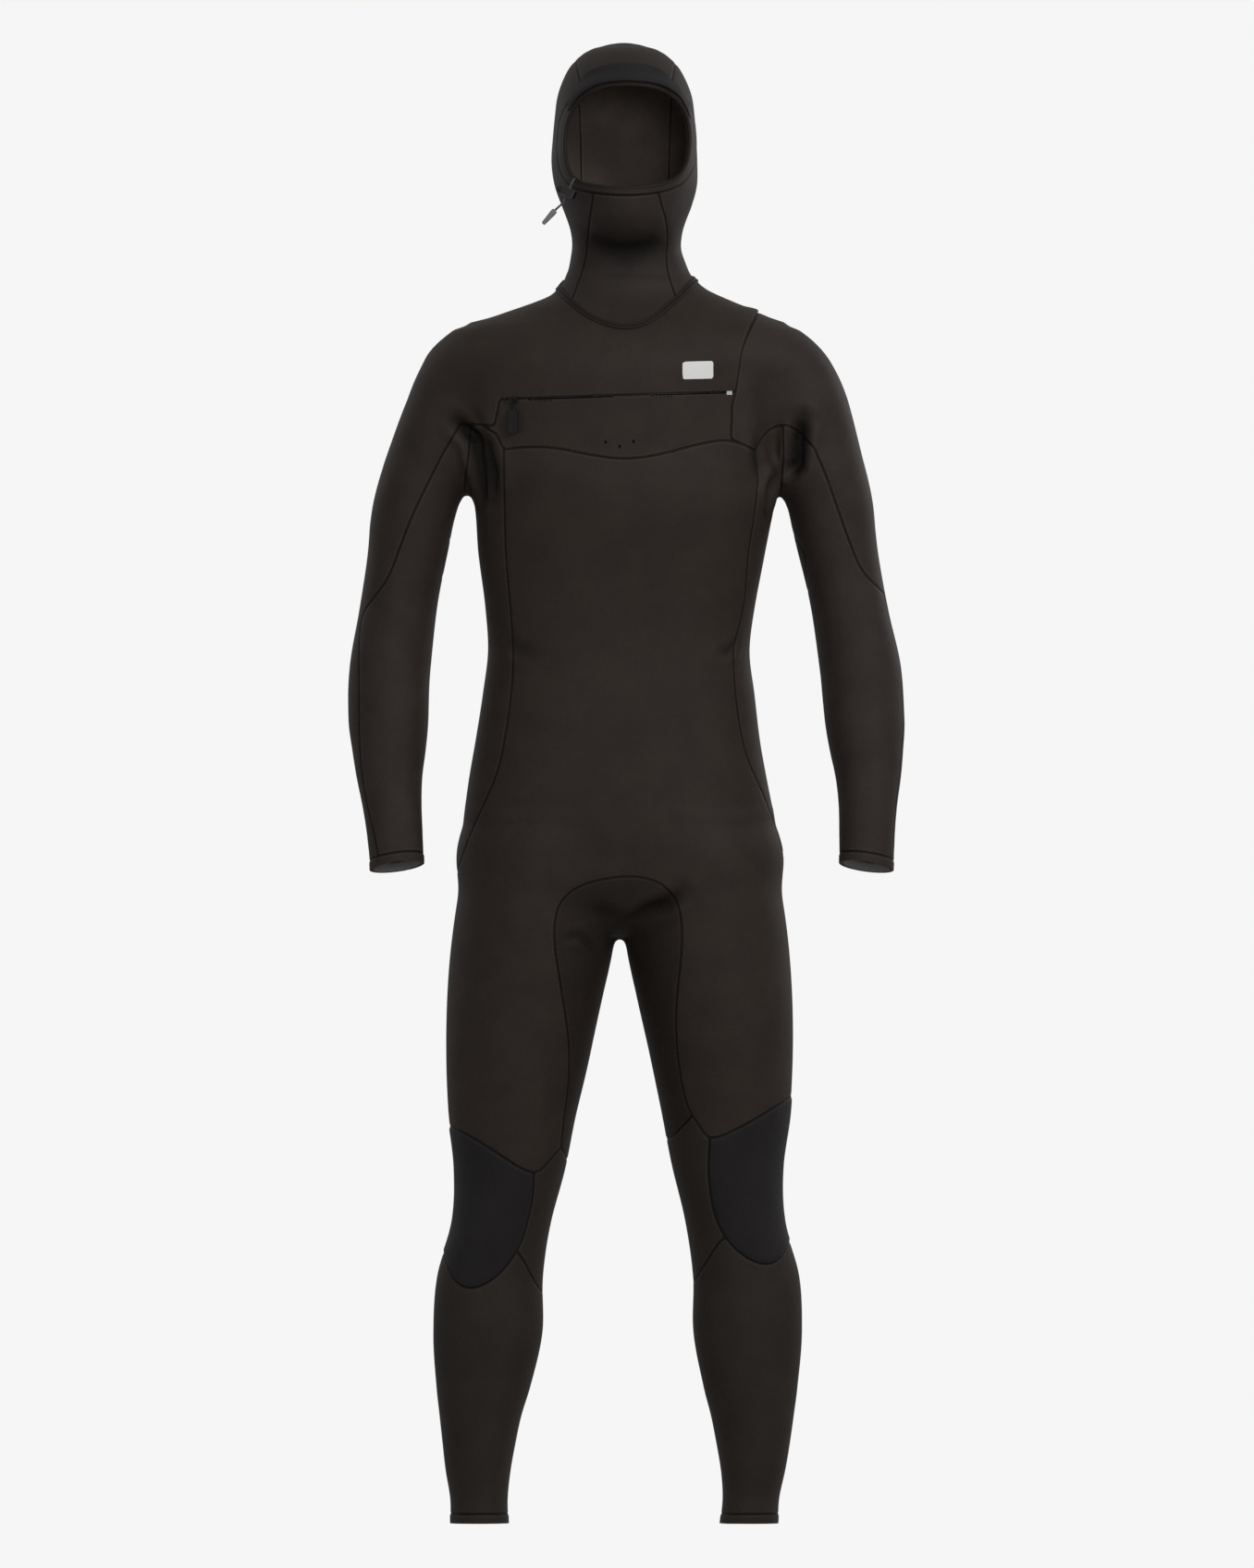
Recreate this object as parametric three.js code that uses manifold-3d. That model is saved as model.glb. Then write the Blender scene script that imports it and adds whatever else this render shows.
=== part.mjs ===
// A full-length hooded wetsuit with a chest zip: neoprene panels sewn edge to edge into one suit,
// with a slide fastener across the chest, a face hem with a drawcord, and a cord lock.
// Millimetres. +Z is up, +X is the wearer's left, and the chest faces -Y.
// Heights are counted from the ankle hem while building. The finished group is lowered by CARRY,
// so that the origin is at the base of the neck, where the suit hangs from its wearer.
import * as THREE from "three";
import { mergeVertices } from "three/addons/utils/BufferGeometryUtils.js";
import Module from "manifold-3d";

// ---- driving dimensions ----
const SUIT_HEIGHT = 1698.5; // ankle hem to crown
const SUIT_WIDTH = 1; // girth scale of trunk, limbs and hood about the centre line
const NEOPRENE = 4.5; // thickness of the sewn sheet
const SEAM_GAP = 0.35; // space between two panels' cut edges
const CARRY = 1400; // base of the neck above the ankle hem
const CHEST_RADIUS = 340; // the chest is rounded to this where the fastener lies
const CHEST_FRONT = 105; // how far the chest stands in front of the centre line there
const ZIP_TILT = 1.87; // degrees, rising to the wearer's left
const ZIP_HALF = 131; // half the fastener's span, across the chest
const ZIP_SLOT = 5; // height of the slot between the two panels
const WRIST_HEM = 10;
const ANKLE_HEM = 11;
const FACE_HEM = 8; // width of the hem round the face
const CORD_R = 1.25;
const MIDDLE = 10; // where the front panels meet the back panels, in Y

// ---- derived ----
const TALL = SUIT_HEIGHT / 1698.5;
const RAD = Math.PI / 180;
const CHEST_X = -10; // centre line of the trunk at the chest
const CHEST_Y = CHEST_RADIUS - CHEST_FRONT;
const ZIP_Z = 1291.5;
const CHEST_ARC = CHEST_RADIUS * SUIT_WIDTH; // the chest's radius once the girth scale is applied
const ZIP_REACH = Math.asin(ZIP_HALF / CHEST_ARC); // half angle of the fastener

const wasm = await Module();
wasm.setup();

// ---- helpers: solids ----
function solid(geometry) {
  const bare = new THREE.BufferGeometry();
  bare.setAttribute("position", geometry.getAttribute("position"));
  if (geometry.index) bare.setIndex(geometry.index);
  const merged = mergeVertices(bare, 1e-3);
  return new wasm.Manifold(
    new wasm.Mesh({
      numProp: 3,
      vertProperties: new Float32Array(merged.attributes.position.array),
      triVerts: new Uint32Array(merged.index.array),
    }),
  );
}
const join = (...all) => all.reduce((a, b) => a.add(b));

function box(x0, x1, y0, y1, z0, z1) {
  const g = new THREE.BoxGeometry(x1 - x0, y1 - y0, z1 - z0);
  g.translate((x0 + x1) / 2, (y0 + y1) / 2, (z0 + z1) / 2);
  return solid(g);
}

// An outline in X and Z, extruded from y0 to y1.
function prism(outline, y0 = -400, y1 = 400) {
  const shape = new THREE.Shape(outline.map(([x, z]) => new THREE.Vector2(x * SUIT_WIDTH, z * TALL)));
  const g = new THREE.ExtrudeGeometry(shape, { depth: y1 - y0, bevelEnabled: false });
  g.rotateX(Math.PI / 2);
  g.translate(0, y1, 0);
  return solid(g);
}

// The same outline moved outwards by d all the way round.
function grown(outline, d) {
  const n = outline.length;
  let turn = 0;
  outline.forEach(([x, z], i) => {
    const [nx, nz] = outline[(i + 1) % n];
    turn += x * nz - nx * z;
  });
  const side = turn > 0 ? 1 : -1;
  return outline.map(([x, z], i) => {
    const [ax, az] = outline[(i + n - 1) % n];
    const [bx, bz] = outline[(i + 1) % n];
    const p = new THREE.Vector2(x - ax, z - az).normalize();
    const q = new THREE.Vector2(bx - x, bz - z).normalize();
    const m = new THREE.Vector2(p.y + q.y, -p.x - q.x);
    const reach = (2 * side * d) / Math.max(m.lengthSq(), 0.8);
    return [x + m.x * reach, z + m.y * reach];
  });
}

// A round cord along a list of points.
function cord(points, r, sides = 8, closed = false) {
  const n = points.length;
  const pos = [];
  const index = [];
  let across = new THREE.Vector3(0, 1, 0);
  points.forEach((p, i) => {
    const before = closed ? points[(i + n - 1) % n] : points[Math.max(i - 1, 0)];
    const after = closed ? points[(i + 1) % n] : points[Math.min(i + 1, n - 1)];
    const along = after.clone().sub(before).normalize();
    across.addScaledVector(along, -across.dot(along)).normalize();
    const third = along.clone().cross(across);
    for (let k = 0; k < sides; k++) {
      const a = (k / sides) * 2 * Math.PI;
      const v = p.clone().addScaledVector(across, r * Math.cos(a)).addScaledVector(third, r * Math.sin(a));
      pos.push(v.x, v.y, v.z);
    }
  });
  const rings = closed ? n : n - 1;
  for (let i = 0; i < rings; i++)
    for (let k = 0; k < sides; k++) {
      const a = i * sides + k;
      const b = i * sides + ((k + 1) % sides);
      const c = ((i + 1) % n) * sides + k;
      const d = ((i + 1) % n) * sides + ((k + 1) % sides);
      index.push(a, b, d, a, d, c);
    }
  if (!closed)
    for (let k = 1; k < sides - 1; k++) {
      index.push(0, k + 1, k);
      const e = (n - 1) * sides;
      index.push(e, e + k, e + k + 1);
    }
  const g = new THREE.BufferGeometry();
  g.setAttribute("position", new THREE.Float32BufferAttribute(pos, 3));
  g.setIndex(index);
  return solid(g);
}

// ---- body shapes: horizontal sections [z, centre x, centre y, half width, front depth, back depth] ----
const TRUNK = [
  [672, -6, 12, 14, 26, 24],
  [684, -6, 12, 60, 60, 62],
  [702, -7, 11, 118, 82, 92],
  [730, -7, 9, 164, 96, 114],
  [760, -7.4, 6, 183, 99, 121],
  [800, -8.6, 3, 179, 100, 118],
  [850, -10, 1, 171.5, 98, 108],
  [900, -10, 0, 163, 95, 99],
  [952, -9, 0, 156, 93, 94],
  [1000, -8.7, 0, 150, 92, 92],
  [1047, -8, 0, 154, 94, 94],
  [1111, -5.8, 0, 164.5, 101, 101],
  [1170, -3, 0, 172, 108, 106],
  [1222, -9, 0, 180, 107, 108],
  [1240, -10, 0, 181, 105, 108],
  [1275, -10, 0, 186, 105, 107],
  [1306, -10, 0, 190, 105, 105],
  [1335, -6, 2, 199, 101, 104],
  [1356, -2, 4, 196, 94, 100],
  [1372, 0, 6, 184, 86, 93],
  [1386, 4, 8, 152, 76, 86],
  [1400, 8, 8, 117, 66, 78],
  [1412, 9, 8, 89, 58, 70],
];
const HOOD = [
  [1380, 0, 8, 66, 50, 60],
  [1410, 0, 8, 76, 52, 62],
  [1433, 2, 8, 70, 53, 60],
  [1459, 0, 8, 63, 60, 62],
  [1471, 0, 8, 62.6, 72, 66],
  [1484, 0, 8, 64.7, 88, 74],
  [1497, 0, 8, 69, 98, 82],
  [1510, 0, 8, 74, 103, 89],
  [1535, -1, 8, 81.7, 108, 97],
  [1561, -2.5, 8, 83.8, 108, 103],
  [1586, -2.5, 8, 82.8, 107, 105],
  [1612, -2.5, 8, 80.6, 104, 103],
  [1637, -2.5, 8, 77, 97, 97],
  [1662, -2.6, 8, 67, 83, 84],
  [1675, -2.6, 8, 58, 71, 73],
  [1688, -2.7, 8, 42, 52, 54],
  [1696, -2.7, 8, 20, 25, 27],
];
const ARM = [
  [728, 269, -48, 31, 26, 26],
  [747, 269, -42, 31, 26, 26],
  [793, 271, -31, 32, 29, 29],
  [824, 273, -22, 34, 33, 33],
  [856, 274.5, -13, 38, 38, 38],
  [888, 273.7, -5, 42.5, 43, 42],
  [920, 273, 2, 45.9, 47, 45],
  [983, 269.5, 10, 46.7, 48, 47],
  [1047, 259.4, 14, 44.5, 47, 46],
  [1111, 247, 14, 46, 49, 48],
  [1175, 236, 13, 50, 53, 52],
  [1238, 214, 12, 55, 56, 56],
  [1302, 192, 11, 56, 57, 58],
  [1334, 182, 10, 50, 50, 52],
  [1352, 176, 10, 41, 41, 43],
  [1366, 170, 10, 28, 28, 30],
  [1373, 165, 10, 12, 12, 13],
];
const LEG = [
  [-16, 153, 12, 33, 38, 40],
  [0, 154.6, 12, 33.4, 39, 41],
  [29, 156, 12, 33, 39, 41],
  [60, 157.5, 12, 37, 42, 45],
  [92, 157, 11, 42, 45, 50],
  [124, 156, 10, 47.5, 47, 56],
  [156, 153.6, 9, 54, 50, 61],
  [220, 149, 8, 62.6, 55, 69],
  [283, 147, 8, 61, 57, 66],
  [347, 134, 6, 57, 59, 59],
  [411, 124.5, 5, 64, 63, 62],
  [474, 122, 5, 74, 71, 73],
  [538, 116.5, 5, 82.5, 80, 84],
  [602, 109, 5, 89, 87, 92],
  [665, 100, 5, 93, 93, 102],
  [720, 95, 4, 91, 95, 110],
  [770, 90, 3, 86, 92, 108],
  [800, 86, 3, 70, 80, 92],
];
// The arms and legs drift a little towards the wearer's right, as in a relaxed stance.
const ARM_DRIFT = [[728, 6], [761, 6], [952, -1], [1143, -5], [1220, -3], [1290, 1], [1400, 1]];
const LEG_DRIFT = [[-20, -14.6], [92, -12], [220, -10], [411, -9], [538, -8], [900, -7]];

function along(table, z, column) {
  const n = table.length;
  let i = 0;
  while (i < n - 2 && z > table[i + 1][0]) i++;
  const at = (k) => table[Math.min(Math.max(k, 0), n - 1)];
  const [p, q] = [at(i), at(i + 1)];
  const h = q[0] - p[0];
  const t = Math.min(Math.max((z - p[0]) / h, 0), 1);
  const squared = column >= 3;
  const value = (s) => (squared ? s[column] ** 2 : s[column]);
  const slope = (k) => {
    const [a, b] = [at(k - 1), at(k + 1)];
    return a === b ? 0 : (value(b) - value(a)) / (b[0] - a[0]);
  };
  const t2 = t * t;
  const t3 = t2 * t;
  const v =
    (2 * t3 - 3 * t2 + 1) * value(p) +
    (t3 - 2 * t2 + t) * h * slope(i) +
    (3 * t2 - 2 * t3) * value(q) +
    (t3 - t2) * h * slope(i + 1);
  return squared ? Math.sqrt(Math.max(v, 0.5)) : v;
}
const section = (table, z) => [1, 2, 3, 4, 5].map((k) => along(table, z, k));

// One closed body through the sections at the given heights, each point moved out by lift.
// mirror is 1 or -1 for a limb and 0 for the trunk and the hood.
function loft(table, heights, sides, lift, mirror = 0, drift = null, power = 2.2, chest = false) {
  const rings = heights.map((z) => {
    const [cx, cy, a, bf, bb] = section(table, z);
    const middle = mirror ? mirror * cx + along(drift, z, 1) : cx;
    return Array.from({ length: sides }, (_, k) => {
      const t = (k / sides) * 2 * Math.PI;
      const c = Math.cos(t);
      const s = Math.sin(t);
      const x = a * Math.sign(c) * Math.abs(c) ** (2 / power);
      const depth = s < 0 ? bf : bb;
      let y = cy + depth * Math.sign(s) * Math.abs(s) ** (2 / power);
      if (chest && z > 1232 && z < 1312 && s < 0 && Math.abs(x) < 158)
        y = CHEST_Y - Math.sqrt(CHEST_RADIUS ** 2 - x * x);
      return new THREE.Vector3((middle + x) * SUIT_WIDTH, y * SUIT_WIDTH, z * TALL);
    });
  });
  const n = rings.length;
  const pos = [];
  rings.forEach((ring, i) =>
    ring.forEach((p, k) => {
      const up = rings[Math.min(i + 1, n - 1)][k].clone().sub(rings[Math.max(i - 1, 0)][k]);
      const round = ring[(k + 1) % sides].clone().sub(ring[(k + sides - 1) % sides]);
      const out = round.cross(up).normalize();
      const v = p.clone().addScaledVector(out, lift);
      pos.push(v.x, v.y, v.z);
    }),
  );
  const mean = (ring, shift) => {
    const c = ring.reduce((m, p) => m.add(p), new THREE.Vector3()).divideScalar(sides);
    pos.push(c.x, c.y, c.z + shift);
  };
  mean(rings[0], -Math.max(lift, 0) - (lift < 0 ? lift : 0) * 0);
  mean(rings[n - 1], 2.5 + lift);
  const index = [];
  for (let i = 0; i < n - 1; i++)
    for (let k = 0; k < sides; k++) {
      const a = i * sides + k;
      const b = i * sides + ((k + 1) % sides);
      index.push(a, b, b + sides, a, b + sides, a + sides);
    }
  for (let k = 0; k < sides; k++) {
    const next = (k + 1) % sides;
    index.push(n * sides, next, k);
    index.push(n * sides + 1, (n - 1) * sides + k, (n - 1) * sides + next);
  }
  const g = new THREE.BufferGeometry();
  g.setAttribute("position", new THREE.Float32BufferAttribute(pos, 3));
  g.setIndex(index);
  return solid(g);
}

const heights = (table, step) => {
  const out = [];
  for (let i = 0; i < table.length - 1; i++) {
    const [a, b] = [table[i][0], table[i + 1][0]];
    const parts = Math.max(1, Math.round((b - a) / step));
    for (let k = 0; k < parts; k++) out.push(a + ((b - a) * k) / parts);
  }
  out.push(table[table.length - 1][0]);
  return out;
};

// The whole body shape, moved out by lift: trunk, hood, two arms and two legs joined.
function body(lift) {
  const chestRings = [...heights(TRUNK, 60), 1233, 1311].sort((a, b) => a - b);
  return join(
    loft(TRUNK, chestRings, 32, lift, 0, null, 2.2, true),
    loft(HOOD, heights(HOOD, 40), 24, lift, 0, null, 2.05),
    loft(ARM, heights(ARM, 80), 14, lift, 1, ARM_DRIFT, 2),
    loft(ARM, heights(ARM, 80), 14, lift, -1, ARM_DRIFT, 2),
    loft(LEG, heights(LEG, 80), 18, lift, 1, LEG_DRIFT, 2),
    loft(LEG, heights(LEG, 80), 18, lift, -1, LEG_DRIFT, 2),
  );
}

// A point on the outer surface of the hood's front.
function hoodFront(x, z) {
  const [cx, cy, a, bf] = section(HOOD, z);
  const u = Math.min(Math.abs((x - cx) / a), 0.999);
  return (cy - bf * (1 - u ** 2.05) ** (1 / 2.05)) * SUIT_WIDTH;
}

// A wrist cut square to the forearm.
function wristCut(side, from, to) {
  const g = new THREE.BoxGeometry(130, 150, to - from);
  g.translate(0, 0, -(from + to) / 2);
  g.rotateX(-0.24);
  g.translate((side * 269 + 6) * SUIT_WIDTH, -42 * SUIT_WIDTH, 752 * TALL);
  return solid(g);
}

// ---- the shell of neoprene ----
const outer = body(0);
const inner = body(-NEOPRENE);
const ends = join(wristCut(1, 0, 90), wristCut(-1, 0, 90), box(-400, 400, -400, 400, -90, 0));
let rest = outer.subtract(inner).subtract(ends);

// Everything in front of the middle. It follows the forearms, which reach forward.
function front(shift) {
  const slope = [[-400, 2000], [MIDDLE, 2000], [MIDDLE, 1000], [-44, 740], [-44, -100], [-400, -100]];
  const shape = new THREE.Shape(slope.map(([y, z]) => new THREE.Vector2(y + shift, z * TALL)));
  const side = (x) => {
    const g = new THREE.ExtrudeGeometry(shape, { depth: 300, bevelEnabled: false });
    g.rotateX(Math.PI / 2).rotateZ(Math.PI / 2);
    g.translate(x, 0, 0);
    return solid(g);
  };
  return join(side(212), side(-512), box(-213, 213, -400, MIDDLE + shift, -100, 2000));
}
const FRONT = front(0);

// A panel's region: its outline on the front and its outline on the back. null leaves a side out.
function region(frontLine, backLine, gap = 0) {
  const ask = [];
  if (frontLine) {
    const half = gap ? front(backLine ? 0 : gap) : FRONT;
    ask.push(prism(grown(frontLine, gap)).intersect(half));
  }
  if (backLine) {
    const half = gap ? front(frontLine ? -0.01 : -gap) : front(-0.01);
    ask.push(prism(grown(backLine, gap)).subtract(half));
  }
  return join(...ask);
}

const panels = new Map();
// Cuts one panel out of what is left of the shell.
function cut(name, frontLine, backLine, keepX = null) {
  const grip = region(frontLine, backLine);
  const piece = rest.intersect(grip);
  rest = rest.subtract(region(frontLine, backLine, SEAM_GAP));
  const parts = piece.decompose().sort((a, b) => b.volume() - a.volume());
  panels.set(name, parts[0]);
  return parts;
}

// ---- hems at the limbs ----
const small = (s) => s.decompose().sort((a, b) => b.volume() - a.volume())[0];
for (const [name, side] of [["left", 1], ["right", -1]]) {
  const band = wristCut(side, -WRIST_HEM, 30);
  panels.set("wrist_hem_" + name, small(rest.intersect(band)));
  rest = rest.subtract(wristCut(side, -WRIST_HEM - SEAM_GAP, 30));
  const foot = (top) => box(side > 0 ? 0 : -400, side > 0 ? 400 : 0, -400, 400, -100, top * TALL);
  panels.set("ankle_hem_" + name, small(rest.intersect(foot(ANKLE_HEM))));
  rest = rest.subtract(foot(ANKLE_HEM + SEAM_GAP / TALL));
}

// ---- hood ----
const NECK = [[-120, 1436], [-82, 1424], [-77, 1414], [-63, 1399], [-43, 1383], [-18, 1373], [1, 1371],
  [21, 1375], [39, 1388], [57, 1403], [77, 1424], [83, 1431], [120, 1440]];
const NECK_BACK = [[-120, 1436], [-82, 1426], [-50, 1418], [0, 1414], [50, 1418], [83, 1430], [120, 1440]];
const above = (line) => [...line, [200, 1800], [-200, 1800]];
const FACE = [[0, 1650], [-30, 1647], [-54, 1633], [-68, 1611], [-72, 1580], [-69, 1552], [-58, 1537],
  [-30, 1531], [3, 1529], [36, 1532], [60, 1541], [71, 1560], [74, 1588], [70, 1614], [57, 1635], [34, 1647]];
const CHIN_LEFT = [[31, 1545], [39, 1515], [48, 1484], [45, 1440], [57, 1405], [62, 1385]];
const CHIN_RIGHT = [[-37, 1545], [-38, 1525], [-44, 1482], [-47, 1445], [-63, 1403], [-68, 1385]];
const neckLift = join(
  prism(above(NECK)).intersect(FRONT),
  prism(above(NECK_BACK)).subtract(front(-0.01)),
);
const neckLower = join(
  prism(grown(above(NECK), SEAM_GAP)).intersect(FRONT),
  prism(grown(above(NECK_BACK), SEAM_GAP)).subtract(front(-0.01)),
);
const suit = rest.subtract(neckLower);
rest = rest.intersect(neckLift);
// the hem round the face is thicker than the sheet
const hemTube = body(1.8).subtract(body(-NEOPRENE - 1.2));
const faceWindow = prism(FACE, -400, -5);
const hemOuter = grown(FACE, FACE_HEM);
const faceHem = hemTube.intersect(prism(hemOuter, -400, -5)).subtract(faceWindow);
rest = rest.subtract(prism(grown(FACE, FACE_HEM + SEAM_GAP), -400, -5));
cut("hood_throat_panel", [...CHIN_LEFT, [62, 1300], [-68, 1300], ...CHIN_RIGHT.slice().reverse()], null);
const CROWN_FRONT = [[-64, 1720], [-60, 1680], [-50, 1640], [-44, 1600], [44, 1600], [50, 1640], [57, 1680], [60, 1720]];
const CROWN_BACK = [[-64, 1720], [-60, 1680], [-56, 1600], [-54, 1500], [-50, 1400], [46, 1400], [50, 1500],
  [53, 1600], [57, 1680], [60, 1720]];
cut("hood_crown_panel", CROWN_FRONT, CROWN_BACK);
panels.set("hood_side_panel_left", small(rest.intersect(box(0, 200, -300, 300, 1300, 1900))));
panels.set("hood_side_panel_right", small(rest.intersect(box(-200, 0, -300, 300, 1300, 1900))));
panels.set("face_hem", small(faceHem));

// ---- chest, sleeves and body ----
rest = suit;
const FLAP = [[157, 1406], [151, 1389], [138, 1363], [130, 1339], [125, 1297]];
const WAVE = [[-141, 1231], [-114, 1234], [-82, 1233], [-40, 1224], [-1, 1219], [40, 1225], [82, 1237],
  [119, 1243], [148, 1230]];
const ARC_RIGHT = [[-141, 1231], [-149, 1248], [-159, 1257], [-173, 1260], [-191, 1259]];
const ARC_LEFT = [[148, 1230], [155, 1245], [168, 1257], [183, 1260], [196, 1253]];
const SLEEVE_RIGHT = [[-210, 1227], [-229, 1190], [-247, 1153], [-261, 1116], [-273, 1084], [-291, 1060],
  [-304, 1042], [-307, 1015], [-307, 941], [-306, 877], [-298, 824], [-288, 787], [-280, 735]];
const SLEEVE_LEFT = [[215, 1233], [229, 1201], [241, 1166], [255, 1127], [268, 1095], [284, 1077], [305, 1058],
  [330, 1045]];
const SLEEVE_BACK = [[206, 1245], [224, 1210], [244, 1150], [260, 1090], [272, 1030], [279, 960], [279, 880],
  [275, 800], [270, 720]];
const sleeveBack = (s) => [[s * 118, 1460], [s * 122, 1396], [s * 138, 1340], [s * 165, 1290], [s * 190, 1262],
  ...SLEEVE_BACK.map(([x, z]) => [s * x + (z < 1000 ? 5 : -5), z]), [s * 270, 690], [s * 450, 690], [s * 450, 1460]];
cut(
  "chest_flap_and_right_sleeve_panel",
  [[-180, 1460], [180, 1460], ...FLAP, [-145, 1288.4], [-149, 1270], [-152, 1258], ...ARC_RIGHT.slice(3),
    ...SLEEVE_RIGHT, [-280, 690], [-450, 690], [-450, 1460]],
  sleeveBack(-1),
);
cut(
  "left_sleeve_panel",
  [[500, 1460], [160, 1460], ...FLAP, [121, 1281], [120, 1243], ...ARC_LEFT, ...SLEEVE_LEFT, [500, 1045]],
  sleeveBack(1),
);
cut(
  "chest_lower_panel",
  [[-145, 1288.4], [125, 1297], [121, 1281], ...WAVE.slice(0, -1).reverse(), [-149, 1248], [-153, 1258], [-149, 1270]],
  null,
);
const SIDE_RIGHT = [[-140, 1174], [-139, 1111], [-133, 1047], [-130, 1005], [-131, 962], [-138, 909],
  [-146, 867], [-159, 835], [-176, 798], [-188, 766], [-199, 735]];
const SIDE_LEFT = [[151, 1196], [147, 1158], [139, 1111], [137, 1068], [130, 1031], [122, 1005], [124, 962],
  [130, 909], [140, 872], [153, 845], [168, 808], [177, 777], [190, 735]];
const GUSSET = [[-75, 432], [-72, 464], [-66, 506], [-65, 548], [-71, 591], [-77, 628], [-83, 665], [-82, 697],
  [-74, 716], [-56, 731], [-29, 739], [3, 743], [29, 739], [47, 729], [60, 710], [64, 681], [62, 644],
  [57, 601], [56, 570], [59, 527], [67, 485], [75, 468]];
const THIGH_RIGHT = [[-240, 470], [-212, 459], [-188, 450], [-157, 431], [-106, 398], [-91, 413]];
const THIGH_LEFT = [[230, 512], [200, 497], [162, 473], [131, 455], [95, 439], [84, 455]];
cut(
  "front_body_panel",
  [...WAVE, ...SIDE_LEFT, [230, 725], ...THIGH_LEFT, ...GUSSET.slice().reverse(), ...THIGH_RIGHT.slice().reverse(),
    [-240, 725], ...SIDE_RIGHT.slice().reverse()],
  null,
);
const GUSSET_BACK = [[-60, 432], [-52, 500], [-50, 560], [-52, 620], [-50, 690], [-36, 730], [-7, 748],
  [22, 730], [36, 690], [38, 620], [36, 560], [38, 500], [46, 450], [0, 420]];
cut("crotch_gusset", [...GUSSET, [53, 444], [0, 420], [-63, 408]], GUSSET_BACK);
const BACK_SIDE = [[150, 1228], [146, 1174], [140, 1111], [130, 1047], [124, 1010]];
const backSide = (s) => BACK_SIDE.map(([x, z]) => [s * x + (s > 0 ? 2 : 0) - 3, z]);
cut(
  "back_panel",
  null,
  [[-160, 1460], [160, 1460], [190, 1262], ...backSide(1), [70, 985], [0, 972], [-80, 985],
    ...backSide(-1).reverse(), [-190, 1262]],
);
const HIP_BACK = [[122, 1005], [124, 962], [130, 909], [140, 860], [152, 815], [168, 775], [190, 735]];
const hipBack = (s) => HIP_BACK.map(([x, z]) => [s * x - (s > 0 ? 2 : 8), z]);
cut(
  "seat_panel",
  null,
  [[0, 1000], ...hipBack(1), [260, 725], [260, 410], [120, 392], [0, 410], [-120, 392], [-260, 410], [-260, 725],
    ...hipBack(-1).reverse()],
);
// the arms' inner panels meet the side panels in the armpit
cut("inner_sleeve_panel_left",
  [[178, 1290], [180, 1227], [178, 1196], [175, 1164], [205, 1110], [212, 1000], [222, 690], [450, 690], [450, 1290]],
  [[186, 1290], [184, 1227], [180, 1196], [178, 1164], [205, 1110], [212, 1000], [222, 690], [450, 690], [450, 1290]]);
cut("inner_sleeve_panel_right",
  [[-176, 1290], [-181, 1227], [-185, 1196], [-187, 1164], [-210, 1110], [-214, 1000], [-222, 690], [-450, 690],
    [-450, 1290]],
  [[-190, 1290], [-190, 1227], [-188, 1196], [-187, 1164], [-210, 1110], [-214, 1000], [-222, 690], [-450, 690],
    [-450, 1290]]);
cut("side_panel_left", [[60, 1300], [220, 1300], [260, 720], [60, 720]], [[60, 1300], [220, 1300], [260, 720], [60, 720]]);
cut("side_panel_right", [[-60, 1300], [-220, 1300], [-260, 720], [-60, 720]],
  [[-60, 1300], [-220, 1300], [-260, 720], [-60, 720]]);
const PAD_RIGHT = [[-106, 398], [-107, 375], [-113, 347], [-122, 317], [-146, 284], [-176, 268], [-196, 276],
  [-205, 294], [-214, 322], [-250, 340]];
const PAD_LEFT = [[95, 439], [93, 404], [98, 362], [109, 333], [128, 311], [151, 298], [168, 298], [180, 309],
  [191, 331], [240, 350]];
cut("knee_pad_right", [...THIGH_RIGHT.slice(0, 5), ...PAD_RIGHT.slice(1)], null);
cut("knee_pad_left", [...THIGH_LEFT.slice(0, 5), ...PAD_LEFT.slice(1)], null);
cut("inner_knee_panel_right",
  [[-75, 432], [-91, 413], ...PAD_RIGHT.slice(0, 4), [-104, 274], [-86, 252], [-40, 240], [-10, 410], [-63, 409]], null);
cut("inner_knee_panel_left",
  [[75, 468], [84, 455], ...PAD_LEFT.slice(0, 4), [94, 305], [68, 262], [30, 250], [0, 425], [53, 445]], null);
panels.set("calf_panel_left", small(rest.intersect(box(0, 300, -300, 300, 0, 500))));
panels.set("calf_panel_right", small(rest.intersect(box(-300, 0, -300, 300, 0, 500))));

// ---- small openings in the chest panel: three drain holes, and the fastener's slot ----
for (const [x, z] of [[-24, 1239], [-8, 1234], [8, 1240]]) {
  const g = new THREE.CylinderGeometry(1.2, 1.2, 60, 10);
  g.scale(1, 1, 1.7);
  g.translate(x * SUIT_WIDTH, -CHEST_FRONT * SUIT_WIDTH, z * TALL);
  panels.set("chest_lower_panel", panels.get("chest_lower_panel").subtract(solid(g)));
}

// ---- slide fastener, laid out on the rounded chest ----
// A strip of the chest's arc: radii r0 to r1 counted from the outer surface, angles a0 to a1, heights z0 to z1.
function strip(r0, r1, a0, a1, z0, z1, steps = 18) {
  const shape = new THREE.Shape();
  const R = CHEST_ARC;
  const at = (r, t) => [(R + r) * Math.sin(t), -(R + r) * Math.cos(t)];
  for (let i = 0; i <= steps; i++) {
    const [x, y] = at(r1, a0 + ((a1 - a0) * i) / steps);
    if (i === 0) shape.moveTo(x, y);
    else shape.lineTo(x, y);
  }
  for (let i = steps; i >= 0; i--) {
    const [x, y] = at(r0, a0 + ((a1 - a0) * i) / steps);
    shape.lineTo(x, y);
  }
  const g = new THREE.ExtrudeGeometry(shape, { depth: z1 - z0, bevelEnabled: false });
  g.translate(0, 0, z0);
  return onChest(g);
}
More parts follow.
